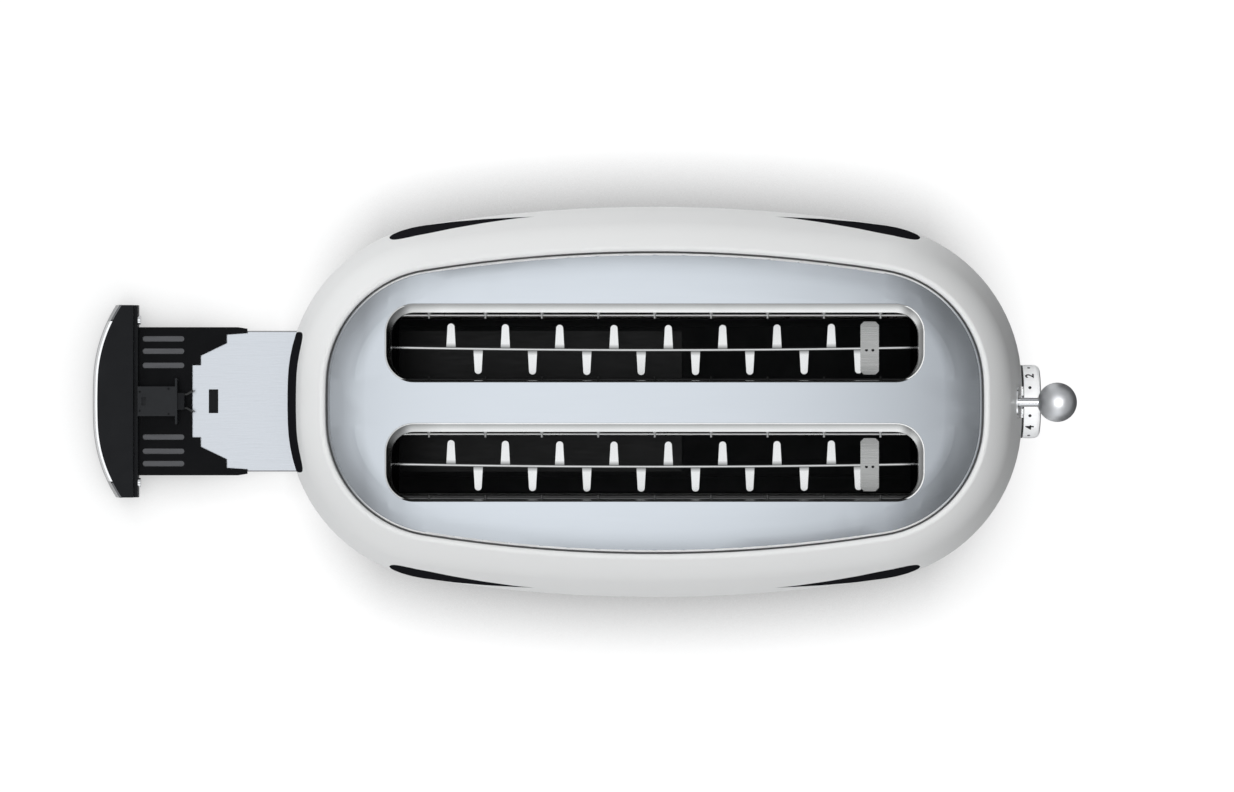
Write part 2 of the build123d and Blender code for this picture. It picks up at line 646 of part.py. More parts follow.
def front_chassis_plate():
    """Front end plate, with the two tabs that hold the guide rods."""
    plate = chassis_plate(1)
    reach = (PLATE_OUTER_X, GUIDE_ROD_X + 6)
    half = ROD_Y + 7
    plate += block(reach, (-half, half), (ROD_TAB_LOW_Z - 2.5, ROD_TAB_LOW_Z))
    plate += block(reach, (-half, half), (ROD_TAB_HIGH_Z, ROD_TAB_HIGH_Z + 2.5))
    return plate


def wall_sheet(y, sheet, z_range):
    """Flat sheet between the two chassis plates."""
    return block((-PLATE_X, PLATE_X), (y - sheet / 2, y + sheet / 2), z_range)


def grid_sides():
    """Name, chamber side and direction away from the bread of the four grids."""
    return (("right_outer", 1, 1), ("right_inner", 1, -1), ("left_inner", -1, 1), ("left_outer", -1, -1))


def board_y(side, away):
    """Middle plane of the mica board behind one grid."""
    return chamber_y(side) + away * (GRID_HALF_GAP + BOARD_GAP)


def bread_grid(side, away):
    """Wire grid that holds the bread off the heater and tilts about its lowest wire."""
    reach = PLATE_X - 3
    wires = [rod_x(0, GRID_PIVOT_Z, GRID_WIRE / 2, (-PLATE_OUTER_X - 2, PLATE_OUTER_X + 2))]
    wires.append(rod_x(0, GRID_TOP_Z, GRID_WIRE / 2, (-reach, reach)))
    wires.append(rod_x(0, (GRID_PIVOT_Z + GRID_TOP_Z) / 2, GRID_WIRE / 2, (-reach, reach)))
    first = -(GRID_UPRIGHTS - 1) / 2
    upright_z = (GRID_PIVOT_Z - GRID_WIRE / 4, GRID_TOP_Z + GRID_WIRE / 2 + CROSS_WIRE / 4)
    for index in range(GRID_UPRIGHTS):
        x = (first + index) * GRID_PITCH
        wires.append(rod_z(x, -(GRID_WIRE + UPRIGHT_WIRE) / 4, UPRIGHT_WIRE / 2, upright_z))
        wires.append(rod_y(x, GRID_TOP_Z + GRID_WIRE / 2, CROSS_WIRE / 2, (-GRID_CROSS / 2, GRID_CROSS / 2)))
    grid = wires[0].fuse(*wires[1:])
    return Pos(0, chamber_y(side) + away * GRID_HALF_GAP, 0) * Rot(0, 0, 90 * (away + 1)) * grid


def heating_ribbon(side, away):
    """Flat heating ribbon, laid to and fro on the bread side of its mica board."""
    face_y = board_y(side, away) - away * MICA_SHEET / 2
    y_range = sorted((face_y, face_y - away * RIBBON_SHEET))
    low_z = MICA_LOW_Z + 8
    step = (GRID_TOP_Z - 12 - low_z) / (RIBBON_ROWS - 1)
    half = RIBBON_WIDTH / 2
    ribbon = None
    for row in range(RIBBON_ROWS):
        z = low_z + row * step
        run = block((-RIBBON_HALF_LENGTH, RIBBON_HALF_LENGTH), y_range, (z - half, z + half))
        ribbon = run if ribbon is None else ribbon + run
        if row < RIBBON_ROWS - 1:
            end = RIBBON_HALF_LENGTH * (1 if row % 2 == 0 else -1)
            x_range = sorted((end, end - RIBBON_WIDTH * (1 if end > 0 else -1)))
            ribbon += block(x_range, y_range, (z, z + step))
    return ribbon


# Carriage and racks

def rail_face(y):
    """Plan of the bowed rail of a rack."""
    bow_radius = (RACK_HALF_LENGTH ** 2 + RACK_BOW ** 2) / (2 * RACK_BOW)
    half_angle = degrees(asin(RACK_HALF_LENGTH / bow_radius))
    steps = ((bow_radius, 2 * half_angle),)
    return band((-RACK_HALF_LENGTH, y + RACK_BOW), -half_angle, steps, -RACK_SHEET / 2, RACK_SHEET / 2)


def finger_face(x, y, side):
    """Plan of one tapered finger with a round tip."""
    tip = FINGER_LENGTH - FINGER_TIP / 2
    root = Pos(x, y) * Rectangle(FINGER_ROOT, 0.1)
    end = Pos(x, y + side * tip) * Circle(FINGER_TIP / 2)
    corners = [(x - FINGER_ROOT / 2, y), (x + FINGER_ROOT / 2, y),
               (x + FINGER_TIP / 2, y + side * tip), (x - FINGER_TIP / 2, y + side * tip)]
    return make_face(Polyline(*corners, close=True)) + end + root


def bread_rack(side):
    """Rail with fingers to both sides that lifts the bread, and a tongue at each end."""
    y = chamber_y(side) + RACK_SHIFT
    low_z = RACK_TOP_Z - RACK_STRIP
    rack = prism_z(rail_face(y), (low_z, RACK_TOP_Z))
    for turn in (1, -1):
        first = -(FINGERS_PER_SIDE - 1) / 2 * FINGER_PITCH - turn * FINGER_PITCH / 4
        for index in range(FINGERS_PER_SIDE):
            x = first + index * FINGER_PITCH
            rail_y = y + RACK_BOW * (x / RACK_HALF_LENGTH) ** 2
            rack += prism_z(finger_face(x, rail_y, turn), (RACK_TOP_Z - RACK_SHEET, RACK_TOP_Z))
    end_y = (rail_end_y(side) - RACK_SHEET / 2, rail_end_y(side) + RACK_SHEET / 2)
    tongue_z = (low_z, low_z + RACK_TONGUE)
    rack += block((RACK_HALF_LENGTH - 0.5, CARRIAGE_X), end_y, tongue_z)
    rack += block((-PLATE_OUTER_X - 4, -RACK_HALF_LENGTH + 0.5), end_y, tongue_z)
    return rack


def rack_cross_plate(side):
    """Flat plate across the front end of a rack, with two rivet holes."""
    y = chamber_y(side)
    plate = Pos(CROSS_PLATE_X, y) * Rectangle(CROSS_PLATE_LENGTH, CROSS_PLATE_WIDTH)
    plate = chamfer(plate.vertices(), CROSS_PLATE_CHAMFER)
    for x in (-1.7, 1.7):
        plate -= Pos(CROSS_PLATE_X + x, y + RACK_SHIFT) * Circle(0.8)
    return prism_z(plate, (RACK_TOP_Z, RACK_TOP_Z + RACK_SHEET))


def carriage():
    """Bracket that joins both racks and slides on the guide rods."""
    back = (CARRIAGE_X, CARRIAGE_X + CARRIAGE_SHEET)
    half = max(abs(rail_end_y(side)) for side in SIDES.values()) + 4
    slider = block(back, (-half, half), (CARRIAGE_LOW_Z, CARRIAGE_LOW_Z + 9))
    slider += block(back, (-13, 13), (CARRIAGE_LOW_Z, LEVER_Z + LEVER_BAR_HEIGHT / 2 + 2))
    slider += block((CARRIAGE_X, GUIDE_ROD_X + 8), (-12, 12), (CARRIAGE_LOW_Z, CARRIAGE_LOW_Z + 2))
    ear_z = (HUB_TOP_Z, HUB_TOP_Z + 2)
    slider += block((CARRIAGE_X, GUIDE_ROD_X + 4.5), (5, 13), ear_z)
    for side in SIDES.values():
        y = side * ROD_Y
        slider += rod_z(GUIDE_ROD_X, y, HUB_DIAMETER / 2, (CARRIAGE_LOW_Z, HUB_TOP_Z))
        slider += block((CARRIAGE_X, GUIDE_ROD_X), (y - 2, y + 2), (CARRIAGE_LOW_Z, CARRIAGE_LOW_Z + 9))
        slider -= rod_z(GUIDE_ROD_X, y, GUIDE_ROD_DIAMETER / 2 + SLIDE_CLEARANCE, (0, HEIGHT))
    return slider


def guide_rods():
    """Two upright rods between the front plate's tabs."""
    return [rod_z(GUIDE_ROD_X, side * ROD_Y, GUIDE_ROD_DIAMETER / 2, (ROD_TAB_LOW_Z, ROD_TAB_HIGH_Z))
            for side in SIDES.values()]


def carriage_spring():
    """Return spring between the carriage's ear and the upper tab, as the tube that it fills."""
    z_range = (HUB_TOP_Z + 2, ROD_TAB_HIGH_Z)
    outer = rod_z(GUIDE_ROD_X, 9, SPRING_DIAMETER / 2, z_range)
    return outer - rod_z(GUIDE_ROD_X, 9, SPRING_DIAMETER / 2 - SPRING_WIRE, z_range)


def magnet_armature():
    """Steel keeper under the carriage that the magnet holds while toasting."""
    return block((CARRIAGE_X + 3, GUIDE_ROD_X + 7), (-11, 11), (ARMATURE_LOW_Z, CARRIAGE_LOW_Z))


def electromagnet():
    """Holding magnet: two poles with a coil between them, on the lower tab."""
    x_range = (CARRIAGE_X + 3, GUIDE_ROD_X + 5)
    magnet = block(x_range, (-10, 10), (ROD_TAB_LOW_Z, ROD_TAB_LOW_Z + 3))
    for y_range in ((-10, -7), (7, 10)):
        magnet += block(x_range, y_range, (ROD_TAB_LOW_Z, MAGNET_TOP_Z))
    coil_x = (x_range[0] + x_range[1]) / 2
    magnet += rod_z(coil_x, 0, 6, (ROD_TAB_LOW_Z + 3, MAGNET_TOP_Z - 2))
    return magnet + block(x_range, (-7, 7), (MAGNET_TOP_Z - 6, MAGNET_TOP_Z - 4))


def lever_arm():
    """Flat bar from the carriage to the stem."""
    z_range = (LEVER_Z - LEVER_BAR_HEIGHT / 2, LEVER_Z + LEVER_BAR_HEIGHT / 2)
    half = LEVER_BAR_SHEET / 2
    return block((CARRIAGE_X + CARRIAGE_SHEET, STEM_START_X), (-half, half), z_range)


def lever_stem():
    """Bright round stem that reaches through the slot into the ball."""
    end_x = BALL_X - BALL_DIAMETER / 2 + BALL_SOCKET
    return rod_x(0, LEVER_Z, STEM_DIAMETER / 2, (STEM_START_X, end_x))


def lever_ball():
    """Ball handle with the socket that the stem fills."""
    ball = Pos(BALL_X, 0, LEVER_Z) * Sphere(BALL_DIAMETER / 2)
    start_x = BALL_X - BALL_DIAMETER
    return ball - rod_x(0, LEVER_Z, STEM_DIAMETER / 2, (start_x, BALL_X - BALL_DIAMETER / 2 + BALL_SOCKET))


# Controls

def circuit_board():
    """Upright board behind the control end, with holes for the shaft and the standoffs' screws."""
    half = BOARD_HALF_WIDTH
    board = block((BOARD_X, BOARD_X + BOARD_SHEET), (-half, half), (BOARD_LOW_Z, BOARD_HIGH_Z))
    return board - rod_x(0, DIAL_Z, SHAFT_DIAMETER / 2 + 0.5, (BOARD_X - 1, BOARD_X + 5))


def board_standoffs():
    """Four spacers that carry the board on the front plate."""
    heights = (BOARD_LOW_Z + 6, BOARD_HIGH_Z - 6)
    return [rod_x(side * STANDOFF_Y, z, STANDOFF_DIAMETER / 2, (PLATE_OUTER_X, BOARD_X))
            for side in SIDES.values() for z in heights]


def browning_potentiometer():
    """Control behind the board whose bushing carries the dial's shaft."""
    pot = rod_x(0, DIAL_Z, 8, (BOARD_X - 9, BOARD_X))
    pot -= rod_x(0, DIAL_Z, SHAFT_DIAMETER / 2 + SHAFT_CLEARANCE, (BOARD_X - 6, BOARD_X + 1))
    bushing = rod_x(0, DIAL_Z, 4.5, (BOARD_X + BOARD_SHEET, BOARD_X + BOARD_SHEET + 8))
    bushing -= rod_x(0, DIAL_Z, SHAFT_DIAMETER / 2 + SHAFT_CLEARANCE, (BOARD_X, BOARD_X + 20))
    return pot, bushing


def dial_shaft():
    """Shaft from the potentiometer to the dial."""
    return rod_x(0, DIAL_Z, SHAFT_DIAMETER / 2, (BOARD_X - 5.9, DIAL_FRONT_X - DIAL_WALL - 0.5))


def browning_dial():
    """Hollow drum with a rounded front edge and a hub on the shaft."""
    radius = DIAL_DIAMETER / 2
    drum = rod_x(0, DIAL_Z, radius, (DIAL_BACK_X, DIAL_FRONT_X))
    drum = fillet(drum.edges().group_by(Axis.X)[-1], DIAL_EDGE_RADIUS)
    drum -= rod_x(0, DIAL_Z, radius - DIAL_WALL, (DIAL_BACK_X - 1, DIAL_FRONT_X - DIAL_WALL))
    drum += rod_x(0, DIAL_Z, DIAL_HUB_DIAMETER / 2, (DIAL_BACK_X, DIAL_FRONT_X - DIAL_WALL))
    socket = (DIAL_BACK_X - 1, DIAL_FRONT_X - DIAL_WALL - 0.4)
    return drum - rod_x(0, DIAL_Z, SHAFT_DIAMETER / 2 + 0.02, socket)


def bezel_radius():
    """Outer radius of a button's bezel."""
    return BUTTON_DIAMETER / 2 + BUTTON_CLEARANCE + BEZEL_WALL


def button(angle):
    """Push button with a rounded face and a collar behind its bezel."""
    y, z = button_place(angle)
    front = shell_x(y, z) + BUTTON_PROUD
    back = BOARD_X + BOARD_SHEET + SWITCH_HEIGHT + BUTTON_TRAVEL + 0.3
    cap = rod_x(y, z, BUTTON_DIAMETER / 2, (back, front))
    cap = fillet(cap.edges().group_by(Axis.X)[-1], 1.0)
    return cap


def button_bezels():
    """Bright sleeves that guide the buttons through the shell."""
    sleeves = []
    for angle in BUTTON_ANGLES.values():
        y, z = button_place(angle)
        front = shell_x(y, z) + BEZEL_PROUD
        sleeve = rod_x(y, z, bezel_radius(), (front - BEZEL_LENGTH, front))
        sleeve = fillet(sleeve.edges().group_by(Axis.X)[-1], 0.5)
        sleeves.append(sleeve - rod_x(y, z, BUTTON_DIAMETER / 2 + BUTTON_CLEARANCE, (front - 10, front + 1)))
    return sleeves


def button_switches():
    """Small switches on the board, one behind each button."""
    switches = []
    half = SWITCH_SIZE / 2
    start = BOARD_X + BOARD_SHEET
    for angle in BUTTON_ANGLES.values():
        y, z = button_place(angle)
        switches.append(block((start, start + SWITCH_HEIGHT), (y - half, y + half), (z - half, z + half)))
    return switches


# Crumb tray

def tray_move(shape):
    """Move a piece drawn in its closed place to where the tray is pulled out."""
    return Pos(-TRAY_OUT, 0, 0) * shape


def tray_front_block(width, root_shift):
    """Cutter for the tray front: as wide as the bay, from behind the body to its root."""
    return block((-LENGTH, TRAY_ROOT_X + TRAY_OUT - root_shift), (-width / 2, width / 2), (0, HEIGHT))


def tray_front():
    """Black front piece, hollow from below, that closes the bay."""
    z_range = (TRAY_FRONT_LOW_Z, TRAY_FRONT_TOP_Z)
    width = TRAY_FRONT_WIDTH - 0.2
    inset = BAND_TOP_INSET + BAND_SHEET
    slope = ring(band_section(BAND_SHEET, BAND_SHEET + TRAY_FRONT_WALL + 1), REAR_ARCS)
    slope &= block((-LENGTH, 0), (-WIDTH, WIDTH), z_range)
    solid = (prism_z(oval(inset), z_range) + slope) & tray_front_block(width, 0)
    hollow = prism_z(oval(inset + TRAY_FRONT_WALL), (0, TRAY_FRONT_TOP_Z - TRAY_FRONT_WALL))
    solid -= hollow & tray_front_block(width - 2 * TRAY_FRONT_WALL, TRAY_STEP_WIDTH + TRAY_FRONT_WALL)
    root = TRAY_ROOT_X + TRAY_OUT
    step_z = (TRAY_FRONT_TOP_Z - TRAY_STEP_DROP, TRAY_FRONT_TOP_Z + 1)
    step = block((root - TRAY_STEP_WIDTH, root + 1), (-width / 2 - 1, width / 2 + 1), step_z)
    return tray_move(solid - step)


def tray_front_band():
    """Bright band on the tray front that completes the base band."""
    strip = ring(band_section(0, BAND_SHEET), REAR_ARCS)
    level = block((-LENGTH, 0), (-WIDTH, WIDTH), (TRAY_FRONT_LOW_Z, TRAY_FRONT_TOP_Z))
    return tray_move(strip & tray_front_block(TRAY_FRONT_WIDTH, 0) & level)


def tray_plate():
    """Brushed steel crumb plate with a hole for the catch."""
    half = TRAY_PLATE_WIDTH / 2
    z_range = (TRAY_PLATE_Z, TRAY_FRAME_Z)
    start = TRAY_ROOT_X + 1.5
    plate = block((start, start + TRAY_PLATE_LENGTH), (-half, half), z_range)
    hole_x = TRAY_ROOT_X + TRAY_HOLE_START
    hole_half = TRAY_HOLE_WIDTH / 2
    return plate - block((hole_x, hole_x + TRAY_HOLE_LENGTH), (-hole_half, hole_half), (0, HEIGHT))


def tray_frame():
    """Black frame on the plate: two arms, stepped shoulders and six vent slots."""
    root = TRAY_ROOT_X
    half = TRAY_FRAME_WIDTH / 2
    arm_end = root + ARM_LENGTH
    upper = [(root, half), (arm_end - 5, half), (arm_end, half - 0.8), (arm_end, half - 3.3),
             (arm_end - 11.4, half - 4.1), (arm_end - 11.4, half - 8.8), (root + 34.0, 25.0),
             (root + 34.0, 19.8), (root + 29.4, 19.8)]
    lower = [(x, -y) for x, y in reversed(upper)]
    face = make_face(Polyline(*(upper + lower), close=True))
    for side in SIDES.values():
        for offset in VENT_OFFSETS:
            middle = root + VENT_START + VENT_LENGTH / 2
            face -= Pos(middle, side * offset) * SlotOverall(VENT_LENGTH, VENT_WIDTH)
    return prism_z(face, (TRAY_FRAME_Z, TRAY_FRAME_TOP_Z))


def plunger_room(grow, x_range):
    """Straight bar of the plunger's section."""
    half = PLUNGER_WIDTH / 2 + grow
    middle = (TRAY_FRAME_TOP_Z + LATCH_TOP_Z) / 2
    tall = PLUNGER_HEIGHT / 2 + grow
    return block(x_range, (-half, half), (middle - tall, middle + tall))


def tray_latch_housing():
    """Housing of the push latch, with a flange and the bore for its plunger."""
    start = TRAY_ROOT_X + 0.2
    end = TRAY_ROOT_X + LATCH_LENGTH + LATCH_FLANGE_SHEET
    half = LATCH_WIDTH / 2
    housing = block((start, end), (-half, half), (TRAY_FRAME_TOP_Z, LATCH_TOP_Z))
    flange = LATCH_FLANGE_WIDTH / 2
    housing += block((end - LATCH_FLANGE_SHEET, end), (-flange, flange), (TRAY_FRAME_TOP_Z, LATCH_TOP_Z))
    housing -= plunger_room(PLUNGER_CLEARANCE, (end - 14, end + 1))
    window = LATCH_WINDOW_WIDTH / 2
    window_x = start + 2.2
    dimple_z = (LATCH_TOP_Z - LATCH_DIMPLE_DEPTH, LATCH_TOP_Z + 1)
    housing -= block((window_x, window_x + LATCH_WINDOW_LENGTH), (-window, window), dimple_z)
    for x, y in ((start + 1.2, half - 2.9), (end - 4.6, half - 1.2)):
        for side in SIDES.values():
            housing -= rod_z(x, side * y, LATCH_DIMPLE / 2, dimple_z)
    return housing


def tray_latch_plunger():
    """Plunger of the push latch."""
    end = TRAY_ROOT_X + LATCH_LENGTH + LATCH_FLANGE_SHEET
    return plunger_room(0, (end - 14 + PLUNGER_TRAVEL + 0.3, end + PLUNGER_REACH))


def tray_latch_claws():
    """Two bent strip claws on the plunger that grip the striker."""
    start = TRAY_ROOT_X + LATCH_LENGTH + LATCH_FLANGE_SHEET + PLUNGER_REACH
    z = (TRAY_FRAME_TOP_Z + LATCH_TOP_Z) / 2
    near = PLUNGER_WIDTH / 2 - 0.8 - CLAW_SHEET / 2
    far = near + CLAW_SHEET
    bend = start + 1.6
    tip = start + CLAW_REACH
    claws = []
    for side in SIDES.values():
        points = [(start, near), (bend, near), (tip, near + CLAW_SPREAD), (tip - 0.5, far + CLAW_SPREAD),
                  (bend - 0.3, far), (start, far)]
        outline = [(x, side * y) for x, y in points[::side]]
        face = make_face(Polyline(*outline, close=True))
        claws.append(prism_z(face, (z - CLAW_HEIGHT / 2, z + CLAW_HEIGHT / 2)))
    return claws


def tray_band_screws():
    """Two bright screws at the back of the tray front."""
    z = (TRAY_FRONT_LOW_Z + TRAY_FRONT_TOP_Z) / 2
    return [rod_x(side * 44.6, z, 2.5, (TRAY_ROOT_X, TRAY_ROOT_X + 1.4)) for side in SIDES.values()]


def tray_latch_striker():
    """Catch under the rear plate that the claws grip when the tray is shut."""
    claw_tip = (TRAY_ROOT_X + LATCH_LENGTH + LATCH_FLANGE_SHEET + PLUNGER_REACH + CLAW_REACH + TRAY_OUT)
    face = claw_tip + STRIKER_GAP
    low_z = (TRAY_FRAME_TOP_Z + LATCH_TOP_Z) / 2 - 2
    striker = block((face, face + 2), (-5, 5), (low_z, SHELL_FOOT_Z + 4))
    return striker + block((-PLATE_X, face + 2), (-5, 5), (SHELL_FOOT_Z + 2, SHELL_FOOT_Z + 4))


# Write every node

save("body_shell", body_shell())
save("lever_slot_trim", lever_slot_trim())
save("top_panel", top_panel())
save("panel_support_ring", panel_support_ring())
for name, side in SIDES.items():
    save(f"slot_liner_{name}", slot_liner(side))
    save(f"bread_rack_{name}", bread_rack(side))
    save(f"rack_cross_plate_{name}", rack_cross_plate(side))
    reflector_y = chamber_y(side) + side * (GRID_HALF_GAP + BOARD_GAP + REFLECTOR_GAP)
    save(f"side_reflector_{name}", wall_sheet(reflector_y, REFLECTOR_SHEET, (REFLECTOR_LOW_Z, GRID_TOP_Z)))
for name, side, away in grid_sides():
    save(f"bread_grid_{name}", bread_grid(side, away))
    save(f"mica_board_{name}", wall_sheet(board_y(side, away), MICA_SHEET, (MICA_LOW_Z, GRID_TOP_Z - 4)))
    save(f"heating_ribbon_{name}", heating_ribbon(side, away))
save("centre_divider", wall_sheet(CHAMBER_SHIFT, REFLECTOR_SHEET, (REFLECTOR_LOW_Z, GRID_TOP_Z)))
save("base_tub", base_tub())
save("base_band", base_band())
save("cord_gland", cord_gland())
save("rubber_feet", *rubber_feet())
save("base_screws", *base_screws())
save("front_chassis_plate", front_chassis_plate())
save("rear_chassis_plate", chassis_plate(-1))
save("carriage", carriage())
save("guide_rods", *guide_rods())
save("carriage_spring", carriage_spring())
save("magnet_armature", magnet_armature())
save("electromagnet", electromagnet())
save("lever_arm", lever_arm())
save("lever_stem", lever_stem())
save("lever_ball", lever_ball())
save("circuit_board", circuit_board())
save("board_standoffs", *board_standoffs())
save("browning_potentiometer", *browning_potentiometer())
save("dial_shaft", dial_shaft())
save("browning_dial", browning_dial())
for name, angle in BUTTON_ANGLES.items():
    save(f"{name}_button", button(angle))
save("button_bezels", *button_bezels())
save("button_switches", *button_switches())
save("crumb_tray_plate", tray_plate())
save("crumb_tray_frame", tray_frame())
save("crumb_tray_front", tray_front())
save("crumb_tray_front_band", tray_front_band())
save("crumb_tray_band_screws", *tray_band_screws())
save("tray_latch_housing", tray_latch_housing())
save("tray_latch_plunger", tray_latch_plunger())
save("tray_latch_claws", *tray_latch_claws())
save("tray_latch_striker", tray_latch_striker())

print("origin shift", round(ORIGIN_X, 3))
print("oval radii", round(SIDE_RADIUS, 2), round(END_RADIUS, 2), round(CORNER_RADIUS, 2))
print("shell arcs", round(LOWER_RADIUS, 1), round(UPPER_RADIUS, 1), round(UPPER_ANGLE, 2))
print("tray root", round(TRAY_ROOT_X, 3), "outer", round(TRAY_OUTER_X, 3))
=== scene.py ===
from math import cos, pi, radians, sin

import bmesh
import bpy
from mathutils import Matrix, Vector

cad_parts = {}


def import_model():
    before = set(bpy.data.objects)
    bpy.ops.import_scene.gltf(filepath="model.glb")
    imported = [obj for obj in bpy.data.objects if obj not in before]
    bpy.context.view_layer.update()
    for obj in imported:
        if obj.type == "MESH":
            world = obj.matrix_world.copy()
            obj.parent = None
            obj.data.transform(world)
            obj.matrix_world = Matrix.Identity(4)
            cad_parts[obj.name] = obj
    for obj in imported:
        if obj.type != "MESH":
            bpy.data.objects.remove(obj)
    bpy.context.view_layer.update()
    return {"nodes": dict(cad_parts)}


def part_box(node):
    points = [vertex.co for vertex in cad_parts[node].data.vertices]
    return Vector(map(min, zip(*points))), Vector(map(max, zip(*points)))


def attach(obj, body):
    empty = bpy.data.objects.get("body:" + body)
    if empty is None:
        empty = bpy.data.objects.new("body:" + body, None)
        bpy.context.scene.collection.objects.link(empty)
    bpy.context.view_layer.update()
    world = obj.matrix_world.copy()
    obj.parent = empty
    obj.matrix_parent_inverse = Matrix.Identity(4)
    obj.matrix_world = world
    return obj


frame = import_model()
NODES = frame["nodes"]
SCENE = bpy.context.scene

# Places that the CAD gives, in metres
BODY_X = (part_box("body_shell")[0][0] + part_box("body_shell")[1][0]) / 2
PANEL_LOW, PANEL_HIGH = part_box("top_panel")
PANEL_TOP = PANEL_HIGH[2]
PANEL_HALF_X = (PANEL_HIGH[0] - PANEL_LOW[0]) / 2
LIP_LOW, LIP_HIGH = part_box("slot_liner_right")
LEFT_LIP_LOW, LEFT_LIP_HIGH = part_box("slot_liner_left")
LIP_HALF_X = (LIP_HIGH[0] - LIP_LOW[0]) / 2
LIP_HALF_Y = (LIP_HIGH[1] - LIP_LOW[1]) / 2
SLOTS_MIDDLE_Y = (LIP_LOW[1] + LIP_HIGH[1] + LEFT_LIP_LOW[1] + LEFT_LIP_HIGH[1]) / 4
SLOTS_HALF_Y = (LIP_LOW[1] + LIP_HIGH[1]) / 2 - SLOTS_MIDDLE_Y
DIAL_LOW, DIAL_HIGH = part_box("browning_dial")
DIAL_RADIUS = (DIAL_HIGH[1] - DIAL_LOW[1]) / 2
DIAL_Z = (DIAL_HIGH[2] + DIAL_LOW[2]) / 2
TRAY_LOW, TRAY_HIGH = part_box("crumb_tray_plate")
BAND_LOW_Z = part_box("crumb_tray_front_band")[0][2]


# Node trees

class Graph:
    """A node tree, with short calls for the nodes that are used here."""

    def __init__(self, tree):
        self.nodes = tree.nodes
        self.links = tree.links

    def add(self, kind, **values):
        """A new node with some of its properties set."""
        node = self.nodes.new(kind)
        for key, value in values.items():
            setattr(node, key, value)
        return node

    def feed(self, source, target):
        self.links.new(source, target)

    def math(self, operation, first, second=0.0, clamp=False):
        """One Math node; its inputs are numbers or outputs."""
        node = self.add("ShaderNodeMath", operation=operation, use_clamp=clamp)
        for index, value in enumerate((first, second)):
            if hasattr(value, "is_linked"):
                self.feed(value, node.inputs[index])
            else:
                node.inputs[index].default_value = value
        return node.outputs[0]

    def product(self, *factors):
        """The factors multiplied, from the first one on."""
        result = factors[0]
        for factor in factors[1:]:
            result = self.math("MULTIPLY", result, factor)
        return result

    def remainder(self, value):
        """What a value leaves of 1."""
        return self.math("SUBTRACT", 1.0, value)

    def away(self, value, middle):
        """Distance of a coordinate from a place."""
        return self.math("ABSOLUTE", self.math("SUBTRACT", value, middle))

    def length(self, first, second):
        """Length of a flat vector."""
        squares = [self.math("MULTIPLY", part, part) for part in (first, second)]
        return self.math("SQRT", self.math("ADD", *squares))

    def step(self, difference, sharpness):
        """0 below a difference of 0 and 1 above it, with a short slope between."""
        return self.math("MULTIPLY", difference, sharpness, clamp=True)

    def ramp(self, value, start, end, low, high):
        """Straight rise from low at start to high at end, held beyond them."""
        node = self.add("ShaderNodeMapRange")
        numbers = {"From Min": start, "From Max": end, "To Min": low, "To Max": high}
        for key, number in numbers.items():
            node.inputs[key].default_value = number
        self.feed(value, node.inputs["Value"])
        return node.outputs["Result"]

    def parts(self, vector):
        """The three parts of a vector as outputs."""
        node = self.add("ShaderNodeSeparateXYZ")
        self.feed(vector, node.inputs[0])
        return node.outputs["X"], node.outputs["Y"], node.outputs["Z"]


# The middle of a noise's values, which is what shows of it, and how rough its finer layers are
NOISE_LOW, NOISE_HIGH = 0.3, 0.7
NOISE_ROUGHNESS = 0.55


